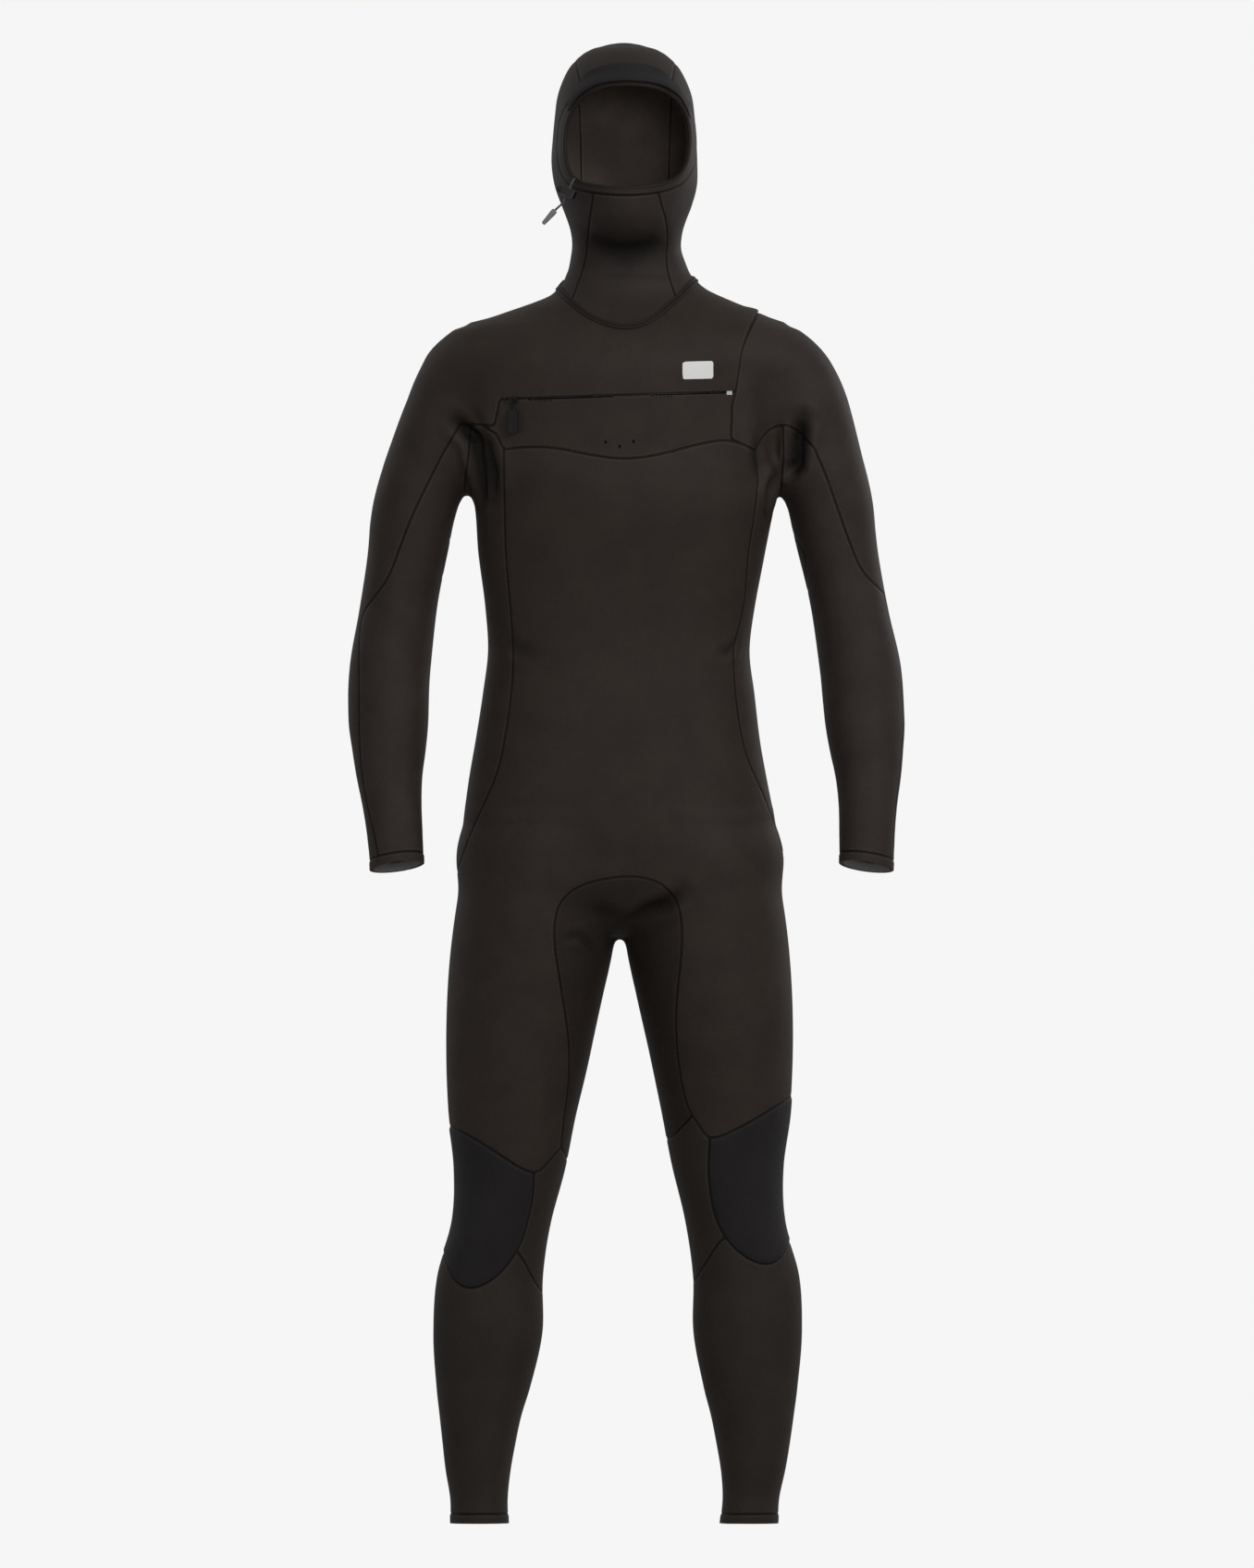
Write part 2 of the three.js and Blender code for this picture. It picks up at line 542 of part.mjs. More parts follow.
// From the fastener's own frame, whose Z is its axis, to the suit.
function onChest(g) {
  g.rotateY(-ZIP_TILT * RAD);
  g.translate(CHEST_X * SUIT_WIDTH, CHEST_Y * SUIT_WIDTH, ZIP_Z * TALL);
  return solid(g);
}
const A = ZIP_REACH;
const half = ZIP_SLOT / 2;
const slot = strip(-30, 30, -A, A, -half, half);
for (const name of ["chest_flap_and_right_sleeve_panel", "chest_lower_panel", "left_sleeve_panel"])
  panels.set(name, small(panels.get(name).subtract(slot)));

const END = 7 / CHEST_ARC; // length of the end pieces as an angle
const SLIT = 0.6; // half the space between the two rows of teeth
const TAPE_HALF = 13;
const TAPE_END = 6.8 / CHEST_ARC; // the tape runs on past the fastener's ends, as an angle
const BACKING_END = 10.2 / CHEST_ARC;
const tapeOut = -NEOPRENE - 0.9;
const tapeIn = tapeOut - 0.9;
panels.set("zip_teeth_upper", strip(-NEOPRENE - 0.5, -2.2, -A + END, A - END, SLIT, half - 0.3));
panels.set("zip_teeth_lower", strip(-NEOPRENE - 0.5, -2.2, -A + END, A - END, -half + 0.3, -SLIT));
panels.set("zip_tape_upper", strip(tapeIn, tapeOut, -A - TAPE_END, A + TAPE_END, SLIT, TAPE_HALF));
panels.set("zip_tape_lower", strip(tapeIn, tapeOut, -A - TAPE_END, A + TAPE_END, -TAPE_HALF, -SLIT));
panels.set("zip_end_stop", strip(-NEOPRENE - 0.5, 0.4, -A + 0.001, -A + END - 0.011, -half + 0.3, half - 0.3, 3));
panels.set("zip_end_box", strip(-NEOPRENE - 0.5, 0.6, A - END + 0.001, A - 0.001, -half + 0.3, half - 0.3, 3));
panels.set(
  "zip_backing_flap",
  join(
    strip(tapeIn - 2.1, tapeIn - 0.35, -A - BACKING_END, A + BACKING_END, 6, TAPE_HALF + 6),
    strip(tapeIn - 3.6, tapeIn - 1.9, -A - BACKING_END, A + BACKING_END, -TAPE_HALF - 3, TAPE_HALF + 6),
  ),
);
// slider: a plate in front of the teeth, a plate behind the tape, and a web through the slit
const S = -A + END + 0.016; // where the slider stands, closed end to the wearer's right
const L = 5.5 / CHEST_ARC;
const slider = [
  strip(0.5, 1.7, S - L, S + L, -3.8, 3.8, 3),
  strip(tapeIn - 1.5, tapeIn - 0.4, S - L, S + L, -3.8, 3.8, 3),
  strip(tapeIn - 1, 1, S - L * 0.7, S + L * 0.7, -0.3, 0.3, 3),
];
// bridge on the slider's face: two feet and a bar the pull's ring goes round
function onSlider(g) {
  g.rotateZ(S);
  const out = new THREE.Vector3(Math.sin(S), -Math.cos(S), 0).multiplyScalar(CHEST_ARC);
  g.translate(out.x, out.y, 0);
  return onChest(g);
}
const local = (x0, x1, y0, y1, z0, z1) => {
  const g = new THREE.BoxGeometry(x1 - x0, y1 - y0, z1 - z0);
  g.translate((x0 + x1) / 2, (y0 + y1) / 2, (z0 + z1) / 2);
  return onSlider(g);
};
slider.push(local(-3.6, -2.4, -5.6, -1.2, -0.9, 0.9));
slider.push(local(2.4, 3.6, -5.6, -1.2, -0.9, 0.9));
slider.push(local(-3, 3, -5.6, -4.4, -0.9, 0.9));
panels.set("zip_slider_body", join(...slider));

// ring through the bridge, then the tab that hangs on it
const PULL_Y = -5;
const RING_DROP = 11;
const ringPath = [];
for (let i = 0; i < 16; i++) {
  const t = (i / 16) * 2 * Math.PI;
  const y = PULL_Y + 2.5 * Math.sign(Math.cos(t)) * Math.abs(Math.cos(t)) ** 0.6;
  const z = -RING_DROP / 2 + 1.6 + (RING_DROP / 2) * Math.sign(Math.sin(t)) * Math.abs(Math.sin(t)) ** 0.6;
  ringPath.push(new THREE.Vector3(0, y, z));
}
function ringSolid() {
  const r = 0.5;
  const n = ringPath.length;
  const pos = [];
  const index = [];
  ringPath.forEach((p, i) => {
    const tangent = ringPath[(i + 1) % n].clone().sub(ringPath[(i + n - 1) % n]).normalize();
    const out = new THREE.Vector3(1, 0, 0).cross(tangent);
    for (let k = 0; k < 6; k++) {
      const a = (k / 6) * 2 * Math.PI;
      pos.push(r * Math.cos(a), p.y + out.y * r * Math.sin(a), p.z + out.z * r * Math.sin(a));
    }
  });
  for (let i = 0; i < n; i++)
    for (let k = 0; k < 6; k++) {
      const a = i * 6 + k;
      const b = i * 6 + ((k + 1) % 6);
      const c = ((i + 1) % n) * 6 + k;
      const d = ((i + 1) % n) * 6 + ((k + 1) % 6);
      index.push(a, c, d, a, d, b);
    }
  const g = new THREE.BufferGeometry();
  g.setAttribute("position", new THREE.Float32BufferAttribute(pos, 3));
  g.setIndex(index);
  return onSlider(g);
}
panels.set("pull_link", ringSolid());
const TAB_TOP = -RING_DROP + 1.6 + 2.2;
const tabShape = new THREE.Shape();
const tabHalf = 6;
const tabLow = TAB_TOP - 31;
tabShape.moveTo(-2.4, TAB_TOP);
tabShape.lineTo(2.4, TAB_TOP);
tabShape.lineTo(tabHalf - 0.6, TAB_TOP - 7);
tabShape.lineTo(tabHalf, TAB_TOP - 12);
tabShape.lineTo(tabHalf, tabLow + 3);
tabShape.quadraticCurveTo(tabHalf, tabLow, tabHalf - 3, tabLow);
tabShape.lineTo(-tabHalf + 3, tabLow);
tabShape.quadraticCurveTo(-tabHalf, tabLow, -tabHalf, tabLow + 3);
tabShape.lineTo(-tabHalf, TAB_TOP - 12);
tabShape.lineTo(-tabHalf + 0.6, TAB_TOP - 7);
const tabG = new THREE.ExtrudeGeometry(tabShape, { depth: 2.2, bevelEnabled: false, curveSegments: 4 });
tabG.rotateX(Math.PI / 2);
tabG.translate(0, PULL_Y + 1.1, 0);
const eyeG = new THREE.CylinderGeometry(1.05, 1.05, 10, 12);
eyeG.translate(0, PULL_Y, -RING_DROP + 1.6 - 0.35);
panels.set("pull_tab", onSlider(tabG).subtract(onSlider(eyeG)));

// ---- pieces laid on the sheet ----
function overlay(name, line, low, high, back = null) {
  const skin = body(high).subtract(body(low));
  const piece = skin.intersect(region(line, back));
  panels.set(name, small(piece));
}
overlay("chest_patch", [[64, 1331], [99, 1332], [99, 1312], [64, 1311]], 0.3, 1.1);
const VISOR = [[-64, 1616], [-40, 1630], [0, 1640], [40, 1630], [70, 1612], [76, 1620], [70, 1650], [54, 1672],
  [30, 1682], [0, 1684], [-32, 1681], [-56, 1670], [-70, 1646], [-74, 1618]];
{
  const skin = body(2.3).subtract(body(0.3)).intersect(prism(VISOR, -400, -20));
  panels.set("hood_visor", small(skin.subtract(prism(grown(FACE, FACE_HEM + 0.4), -400, -5))));
}
{
  const band = (line, d) => line.map(([x, z]) => [x, z + d]);
  const belt = (line) => [...band(line, 5), ...band(line, -5).reverse()];
  const skin = body(2.4).subtract(body(0.3));
  const piece = skin.intersect(join(
    prism(belt(NECK)).intersect(FRONT),
    prism(belt(NECK_BACK)).subtract(front(-0.01)),
  ));
  panels.set("neck_welt", small(piece));
}

// ---- drawcord: a loop behind the face hem, then out through an eyelet, a lock and an end piece ----
const loopLine = grown(FACE, FACE_HEM / 2);
const loop = new THREE.CatmullRomCurve3(
  loopLine.map(([x, z]) => new THREE.Vector3(x * SUIT_WIDTH, 0, z * TALL)), true);
const loopPoints = loop.getPoints(26).slice(0, 26).map((p) => {
  const x = p.x / SUIT_WIDTH;
  const z = p.z / TALL;
  const d = 1;
  const gx = (hoodFront(x + d, z) - hoodFront(x - d, z)) / (2 * d);
  const gz = (hoodFront(x, z + d) - hoodFront(x, z - d)) / (2 * d);
  const n = new THREE.Vector3(gx, -1, gz).normalize();
  const depth = NEOPRENE + 1.2 + CORD_R * 0.2;
  return new THREE.Vector3(p.x - n.x * depth, hoodFront(x, z) - n.y * depth, p.z - n.z * depth);
});
panels.set("drawcord_loop", cord(loopPoints, CORD_R, 6, true));
// the cord lies in a groove along the hem's inside face
panels.set("face_hem", small(panels.get("face_hem").subtract(cord(loopPoints, CORD_R + 0.4, 6, true))));

// where the cord leaves the hem, and the cord lock's own axes: WAY along the cord, BARREL along the button
const EXIT = [-60, 1541.5];
const LOCK_AT = [-67.5, 1525];
const exitY = hoodFront(...EXIT);
const exitPoint = new THREE.Vector3(EXIT[0] * SUIT_WIDTH, exitY - 7.4, EXIT[1] * TALL);
const lockPoint = new THREE.Vector3(LOCK_AT[0] * SUIT_WIDTH, exitY - 8, LOCK_AT[1] * TALL);
const WAY = lockPoint.clone().sub(exitPoint).normalize();
const BARREL = new THREE.Vector3(0.85, -0.42, -0.35);
BARREL.addScaledVector(WAY, -BARREL.dot(WAY)).normalize();
const LOCK_FRAME = new THREE.Matrix4()
  .makeBasis(BARREL, WAY.clone().cross(BARREL), WAY)
  .setPosition(lockPoint);
const inLock = (g) => solid(g.applyMatrix4(LOCK_FRAME));
const HOLE_R = CORD_R + 0.45;
const BUTTON_R = 2.9;
const PRESS = 2.6; // how far the button goes in

function drum(r, x0, x1, sides = 20) {
  const g = new THREE.CylinderGeometry(r, r, x1 - x0, sides);
  g.rotateZ(Math.PI / 2);
  g.translate((x0 + x1) / 2, 0, 0);
  return g;
}
function lockBody() {
  const shape = new THREE.Shape();
  shape.moveTo(-5.5, -4.2);
  shape.lineTo(7.5, -4.2);
  shape.quadraticCurveTo(10, -4.2, 10, -1.8);
  shape.lineTo(10, 1.8);
  shape.quadraticCurveTo(10, 4.2, 7.5, 4.2);
  shape.lineTo(-5.5, 4.2);
  shape.quadraticCurveTo(-7, 4.2, -7, 2.6);
  shape.lineTo(-7, -2.6);
  shape.quadraticCurveTo(-7, -4.2, -5.5, -4.2);
  const g = new THREE.ExtrudeGeometry(shape, { depth: 9, bevelEnabled: false, curveSegments: 5 });
  g.translate(0, 0, -4.5);
  const through = new THREE.CylinderGeometry(HOLE_R, HOLE_R, 30, 14);
  through.rotateX(Math.PI / 2);
  return inLock(g).subtract(inLock(drum(BUTTON_R + 0.3, -8, 8))).subtract(inLock(through));
}
function lockButton() {
  const cap = drum(3.6, -13.5, -7 - PRESS - 0.4);
  const slotGap = new THREE.BoxGeometry(2 * HOLE_R + PRESS, 2 * HOLE_R, 9);
  slotGap.translate(-PRESS / 2, 0, 0);
  return join(inLock(drum(BUTTON_R, -12, 4.6)), inLock(cap)).subtract(inLock(slotGap));
}
panels.set("cord_lock_body", lockBody());
panels.set("cord_lock_button", lockButton());

// the free tail: from the loop, out through the hem, through the lock, and into the end piece
const reach = (d) => exitPoint.clone().addScaledVector(WAY, d);
const into = loopPoints.reduce((m, p) => (p.distanceTo(exitPoint) < m.distanceTo(exitPoint) ? p : m));
const inward = into.clone().sub(exitPoint).normalize();
const tailStart = into.clone().addScaledVector(inward, -2 * CORD_R - 0.4);
const endDir = new THREE.Vector3(-0.66, 0.1, -0.74).normalize();
const endTop = new THREE.Vector3(-82.5 * SUIT_WIDTH, exitY - 3, 1504 * TALL);
const stem = (d) => exitPoint.clone().addScaledVector(inward, d);
const tail = [
  tailStart, stem(4), stem(2).addScaledVector(WAY, 0.54), stem(1.17).addScaledVector(WAY, 1.17),
  stem(0.54).addScaledVector(WAY, 2), reach(4),
];
const tailCurve = new THREE.CatmullRomCurve3([
  reach(29), reach(31), endTop.clone().addScaledVector(endDir, -2.5), endTop, endTop.clone().addScaledVector(endDir, 5),
]);
const tailPoints = [...tail, reach(8), reach(18), reach(27), ...tailCurve.getPoints(10)];
panels.set("drawcord_tail", cord(tailPoints, CORD_R, 8));
const bore = cord([tailStart.clone().addScaledVector(inward, 4), exitPoint.clone().addScaledVector(inward, -6)],
  CORD_R + 0.45, 10);
panels.set("face_hem", small(panels.get("face_hem").subtract(bore)));

function turned(profile, at, way) {
  const g = new THREE.LatheGeometry(profile.map(([r, h]) => new THREE.Vector2(r, h)), 18);
  g.applyQuaternion(new THREE.Quaternion().setFromUnitVectors(new THREE.Vector3(0, 1, 0), way));
  g.translate(at.x, at.y, at.z);
  return solid(g);
}
// a moulded end piece with a socket for the cord
const SOCKET = CORD_R + 0.2;
panels.set("drawcord_end", turned(
  [[0, 6], [0, 21], [1.6, 21], [2.4, 20], [3.5, 4], [3.3, 1], [2.6, 0], [SOCKET, 0], [SOCKET, 6], [0, 6]].reverse(),
  endTop.clone().addScaledVector(endDir, -1), endDir));
// an eyelet on the hem's face
const EYELET_R = CORD_R + 0.9; // its hole, wide enough for the cord to turn in
const eyeletWay = inward.clone().negate();
panels.set("drawcord_eyelet", turned(
  [[EYELET_R, 0], [EYELET_R + 1.0, 0], [EYELET_R + 1.0, 0.3], [EYELET_R + 0.7, 0.6], [EYELET_R, 0.6], [EYELET_R, 0]],
  stem(3.7), eyeletWay));

const MATERIALS = {
  jersey: ["#2a2421", 0.85],
  sleeve: ["#2f2828", 0.85],
  knee: ["#1f1e1f", 0.7],
  hood: ["#2c2725", 0.85],
  visor: ["#2c292b", 0.45],
  tape: ["#161616", 0.8],
  metal: ["#9a9a9c", 0.35],
  plastic: ["#141416", 0.45],
  grey: ["#b9b9bb", 0.5],
  patch: ["#c9c7c4", 0.6],
  cord: ["#1b1a1b", 0.8],
};
const LOOK = [
  [/^hood_visor/, "visor"], [/^hood|^face_hem|^neck/, "hood"], [/sleeve/, "sleeve"], [/^knee/, "knee"],
  [/^zip_(tape|backing|teeth)/, "tape"], [/^zip_end_box|^drawcord_end/, "grey"],
  [/^zip_slider|^zip_end_stop|^pull_link/, "metal"], [/^pull_tab|^cord_lock/, "plastic"],
  [/^chest_patch/, "patch"], [/^drawcord/, "cord"], [/./, "jersey"],
];

const root = new THREE.Group();
root.name = "full_wetsuit";
root.position.z = -CARRY * TALL;
for (const [name, body3] of panels) {
  const m = body3.getMesh();
  const g = new THREE.BufferGeometry();
  const v = new Float32Array(m.numVert * 3);
  for (let i = 0; i < m.numVert; i++)
    v.set(m.vertProperties.subarray(i * m.numProp, i * m.numProp + 3), i * 3);
  g.setAttribute("position", new THREE.BufferAttribute(v, 3));
  g.setIndex(new THREE.BufferAttribute(new Uint32Array(m.triVerts), 1));
  g.computeVertexNormals();
  const [color, roughness] = MATERIALS[LOOK.find(([test]) => test.test(name))[1]];
  const mesh = new THREE.Mesh(g, new THREE.MeshStandardMaterial({ color, roughness }));
  mesh.name = name;
  root.add(mesh);
}
export default root;
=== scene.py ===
"""A full hooded wetsuit, shaped as on a standing wearer, in a pale studio.

Lengths in the tables are millimetres, and heights count from the ankle hem. metres() takes
them to the row frame, whose origin is the base of the neck. +X is the wearer's left, and the
chest faces -Y.

The suit's outer surface is one smooth field: a trunk, a hood, two arms and two legs, each a
stack of rounded sections, blended where they meet. It is turned into a mesh, cut along the
seam lines into the sewn panels, and each panel is given the sheet's thickness.
"""

import math

import bpy
import numpy as np
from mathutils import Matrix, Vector


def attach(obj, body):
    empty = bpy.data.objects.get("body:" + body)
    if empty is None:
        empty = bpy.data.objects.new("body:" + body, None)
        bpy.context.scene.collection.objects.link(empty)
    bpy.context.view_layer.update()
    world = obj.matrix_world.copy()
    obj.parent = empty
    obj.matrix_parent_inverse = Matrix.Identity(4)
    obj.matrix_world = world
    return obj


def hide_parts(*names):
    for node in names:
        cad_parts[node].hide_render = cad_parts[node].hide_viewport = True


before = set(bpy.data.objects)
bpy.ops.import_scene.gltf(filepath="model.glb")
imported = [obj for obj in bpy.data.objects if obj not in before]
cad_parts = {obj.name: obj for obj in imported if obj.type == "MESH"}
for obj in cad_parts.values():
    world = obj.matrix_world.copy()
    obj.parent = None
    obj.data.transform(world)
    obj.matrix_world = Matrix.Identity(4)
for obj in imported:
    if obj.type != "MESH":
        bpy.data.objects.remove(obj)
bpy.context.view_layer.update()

CARRY = 1400.0  # base of the neck above the ankle hem
SHEET = 4.3  # thickness of the neoprene
GRID = 4.5  # size of the field's cells
MIDDLE = 10.0  # where front panels meet back panels, in Y
CHEST_X, CHEST_R, CHEST_FRONT = -10.0, 340.0, 105.0  # the rounded chest under the fastener
ZIP_Z, ZIP_TILT, ZIP_HALF, ZIP_SLOT = 1291.5, math.radians(1.87), 131.0, 3.6


def metres(p):
    """Points in millimetres above the hem, in the row frame in metres."""
    p = np.asarray(p, float)
    return (p - np.array([0, 0, CARRY])) / 1000


def placed(name, data):
    """A new object of the scene."""
    o = bpy.data.objects.new(name, data)
    bpy.context.scene.collection.objects.link(o)
    return o


# ---------------------------------------------------------------- camera and lights
def camera():
    cam = bpy.data.cameras.new("camera")
    cam.lens = 800
    cam.sensor_width = 36
    cam.clip_end = 400
    o = placed("camera", cam)
    o.location = (0.0005, -39.96, -0.552)
    o.rotation_euler = (math.pi / 2, 0, 0)
    bpy.context.scene.camera = o


def area_light(name, place, aim, size, power, tall=None):
    light = bpy.data.lights.new(name, "AREA")
    light.shape = "RECTANGLE" if tall else "DISK"
    light.size = size
    if tall:
        light.size_y = tall
    light.energy = power
    o = placed(name, light)
    o.location = place
    o.rotation_euler = (Vector(aim) - Vector(place)).to_track_quat("-Z", "Y").to_euler()
    o.visible_camera = False


BACKDROP = (0.921, 0.921, 0.921)
FLOOR = -1.52  # height of the studio floor in the row frame, in metres


def calculated(new, link, operation, *values):
    """A sum in a shader. Each value is a number or another node's output."""
    node = new("ShaderNodeMath")
    node.operation = operation
    for socket, value in zip(node.inputs, values):
        if isinstance(value, (int, float)):
            socket.default_value = value
        else:
            link(value, socket)
    return node.outputs["Value"]


def backdrop_mix(tree, output, lighting, seen):
    """The backdrop lights the object with one shader and is seen as another."""
    pick = tree.nodes.new("ShaderNodeMixShader")
    tree.links.new(tree.nodes.new("ShaderNodeLightPath").outputs["Is Camera Ray"], pick.inputs["Fac"])
    tree.links.new(lighting, pick.inputs[1])
    tree.links.new(seen, pick.inputs[2])
    tree.links.new(pick.outputs["Shader"], tree.nodes[output].inputs["Surface"])


def studio():
    """A white sweep behind the object, lighting brighter overhead than at the horizon and darkest below, and soft
    lamps.
    """
    world = bpy.data.worlds.new("studio")
    world.use_nodes = True
    new, link = world.node_tree.nodes.new, world.node_tree.links.new
    seen = world.node_tree.nodes["Background"]
    seen.inputs["Color"].default_value = (*BACKDROP, 1)
    glow = new("ShaderNodeBackground")
    up = new("ShaderNodeSeparateXYZ")
    link(new("ShaderNodeTexCoord").outputs["Generated"], up.inputs["Vector"])
    band = new("ShaderNodeValToRGB")
    band.color_ramp.elements[0].position = 0.30
    band.color_ramp.elements[0].color = (0.06, 0.06, 0.06, 1)
    band.color_ramp.elements[1].position = 1.0
    band.color_ramp.elements[1].color = (0.42, 0.42, 0.42, 1)
    middle = band.color_ramp.elements.new(0.52)
    middle.color = (0.30, 0.30, 0.30, 1)
    link(calculated(new, link, "MULTIPLY_ADD", up.outputs["Z"], 0.5, 0.5), band.inputs["Fac"])
    link(band.outputs["Color"], glow.inputs["Color"])
    backdrop_mix(world.node_tree, "World Output", glow.outputs["Background"], seen.outputs["Background"])
    bpy.context.scene.world = world
    bpy.context.scene.view_settings.view_transform = "Standard"
    area_light("key", (2.0, -2.8, 1.9), (0, 0, -0.3), 1.5, 40)
    area_light("front", (0.7, -4.4, 0.6), (0, 0, -0.6), 1.0, 27)
    area_light("strip", (0.75, -4.2, -0.6), (0, 0, -0.6), 0.3, 4, tall=2.6)
    area_light("rim_left", (-2.2, 2.2, 0.4), (0, 0, -0.5), 1.4, 4)
    area_light("rim_right", (2.2, 2.2, 0.4), (0, 0, -0.5), 1.4, 9)
    data = bpy.data.meshes.new("floor")
    corners = [(x, y, FLOOR) for x, y in ((-9, -60), (9, -60), (9, 9), (-9, 9))]
    data.from_pydata(corners, [], [(0, 1, 2, 3)])
    floor = placed("floor", data)
    m = bpy.data.materials.new("floor")
    m.use_nodes = True
    matte = m.node_tree.nodes["Principled BSDF"]
    matte.inputs["Base Color"].default_value = (0.45, 0.45, 0.45, 1)
    bright = m.node_tree.nodes.new("ShaderNodeEmission")
    bright.inputs["Color"].default_value = (*BACKDROP, 1)
    backdrop_mix(m.node_tree, "Material Output", matte.outputs["BSDF"], bright.outputs["Emission"])
    floor.data.materials.append(m)


# ---------------------------------------------------------------- meshes
def fast_mesh(name, verts, tris, slots, floats):
    """A triangle mesh from arrays: a material slot per face, and named numbers per vertex."""
    data = bpy.data.meshes.new(name)
    data.vertices.add(len(verts))
    data.vertices.foreach_set("co", np.asarray(verts, np.float32).ravel())
    data.loops.add(3 * len(tris))
    data.loops.foreach_set("vertex_index", np.asarray(tris, np.int32).ravel())
    data.polygons.add(len(tris))
    data.polygons.foreach_set("loop_start", np.arange(0, 3 * len(tris), 3, dtype=np.int32))
    data.polygons.foreach_set("material_index", np.asarray(slots, np.int32))
    data.polygons.foreach_set("use_smooth", np.ones(len(tris), bool))
    data.update(calc_edges=True)
    for key, values in floats.items():
        data.attributes.new(key, "FLOAT", "POINT").data.foreach_set("value", values.astype(np.float32))
    return placed(name, data)


# ---------------------------------------------------------------- body shape
# Sections: height, centre x, centre y, half width, depth in front, depth behind.
TRUNK = np.array([
    [672, -6, 12, 14, 26, 24], [684, -6, 12, 60, 60, 62], [702, -7, 11, 118, 82, 92],
    [730, -7, 9, 164, 96, 114], [760, -7.4, 6, 183, 99, 121], [800, -8.6, 3, 179, 100, 118],
    [850, -10, 1, 171.5, 98, 108], [900, -10, 0, 163, 95, 99], [952, -9, 0, 156, 93, 94],
    [1000, -8.7, 0, 150, 92, 92], [1047, -8, 0, 154, 94, 94], [1111, -5.8, 0, 164.5, 101, 101],
    [1170, -3, 0, 172, 108, 106], [1222, -9, 0, 180, 107, 108], [1240, -10, 0, 181, 105, 108],
    [1275, -10, 0, 186, 105, 107], [1306, -10, 0, 190, 105, 105], [1335, -6, 2, 199, 101, 104],
    [1356, -2, 4, 196, 94, 100], [1372, 0, 6, 184, 86, 93], [1386, 4, 8, 152, 76, 86],
    [1400, 8, 8, 117, 66, 78], [1412, 9, 8, 89, 58, 70], [1424, 8, 8, 70, 54, 64]])
HOOD = np.array([
    [1380, 0, 8, 66, 50, 60], [1410, 0, 8, 76, 52, 62], [1433, 2, 8, 70, 53, 60],
    [1459, 0, 8, 63, 60, 62], [1471, 0, 8, 62.6, 72, 66], [1484, 0, 8, 64.7, 88, 74],
    [1497, 0, 8, 69, 98, 82], [1510, 0, 8, 74, 103, 89], [1535, -1, 8, 81.7, 108, 97],
    [1561, -2.5, 8, 83.8, 108, 103], [1586, -2.5, 8, 82.8, 107, 105], [1612, -2.5, 8, 80.6, 104, 103],
    [1637, -2.5, 8, 77, 97, 97], [1662, -2.6, 8, 67, 83, 84], [1675, -2.6, 8, 58, 71, 73],
    [1688, -2.7, 8, 42, 52, 54], [1696, -2.7, 8, 20, 25, 27], [1698.5, -2.7, 8, 3, 4, 4]])
ARM = np.array([
    [728, 269, -48, 31, 26, 26], [747, 269, -42, 31, 26, 26], [793, 271, -31, 32, 29, 29],
    [824, 273, -22, 34, 33, 33], [856, 274.5, -13, 38, 38, 38], [888, 273.7, -5, 42.5, 43, 42],
    [920, 273, 2, 45.9, 47, 45], [983, 269.5, 10, 46.7, 48, 47], [1047, 259.4, 14, 44.5, 47, 46],
    [1111, 247, 14, 46, 49, 48], [1175, 236, 13, 50, 53, 52], [1238, 214, 12, 55, 56, 56],
    [1302, 192, 11, 56, 57, 58], [1334, 182, 10, 50, 50, 52], [1352, 176, 10, 41, 41, 43],
    [1366, 170, 10, 28, 28, 30], [1373, 165, 10, 12, 12, 13]])
LEG = np.array([
    [-16, 153, 12, 33, 38, 40], [0, 154.6, 12, 33.4, 39, 41], [29, 156, 12, 33, 39, 41],
    [60, 157.5, 12, 37, 42, 45], [92, 157, 11, 42, 45, 50], [124, 156, 10, 47.5, 47, 56],
    [156, 153.6, 9, 54, 50, 61], [220, 149, 8, 62.6, 55, 69], [283, 147, 8, 61, 57, 66],
    [347, 134, 6, 57, 59, 59], [411, 124.5, 5, 64, 63, 62], [474, 122, 5, 74, 71, 73],
    [538, 116.5, 5, 82.5, 80, 84], [602, 109, 5, 89, 87, 92], [665, 100, 5, 93, 93, 102],
    [720, 95, 4, 91, 95, 110], [770, 90, 3, 86, 92, 108], [800, 86, 3, 70, 80, 92]])
# A relaxed stance: the limbs drift a little towards the wearer's right.
ARM_DRIFT = np.array([[728, 6], [761, 6], [952, -1], [1143, -5], [1220, -3], [1290, 1], [1400, 1]])
LEG_DRIFT = np.array([[-20, -14.6], [92, -12], [220, -10], [411, -9], [538, -8], [900, -7]])


def smooth_column(table, z, column):
    """A column of a table at heights z: a cubic through the rows. Radii go by their squares."""
    zs = table[:, 0]
    value = table[:, column] ** 2 if column >= 3 else table[:, column]
    slope = np.zeros_like(value)
    slope[1:-1] = (value[2:] - value[:-2]) / (zs[2:] - zs[:-2])
    slope[0] = (value[1] - value[0]) / (zs[1] - zs[0])
    slope[-1] = (value[-1] - value[-2]) / (zs[-1] - zs[-2])
    z = np.clip(z, zs[0], zs[-1])
    i = np.clip(np.searchsorted(zs, z, side="right") - 1, 0, len(zs) - 2)
    h = zs[i + 1] - zs[i]
    t = (z - zs[i]) / h
    v = ((2 * t**3 - 3 * t**2 + 1) * value[i] + (t**3 - 2 * t**2 + t) * h * slope[i]
         + (3 * t**2 - 2 * t**3) * value[i + 1] + (t**3 - t**2) * h * slope[i + 1])
    return np.sqrt(np.maximum(v, 1.0)) if column >= 3 else v


def smoothstep(a, b, x):
    t = np.clip((np.asarray(x, float) - a) / (b - a), 0, 1)
    return t * t * (3 - 2 * t)


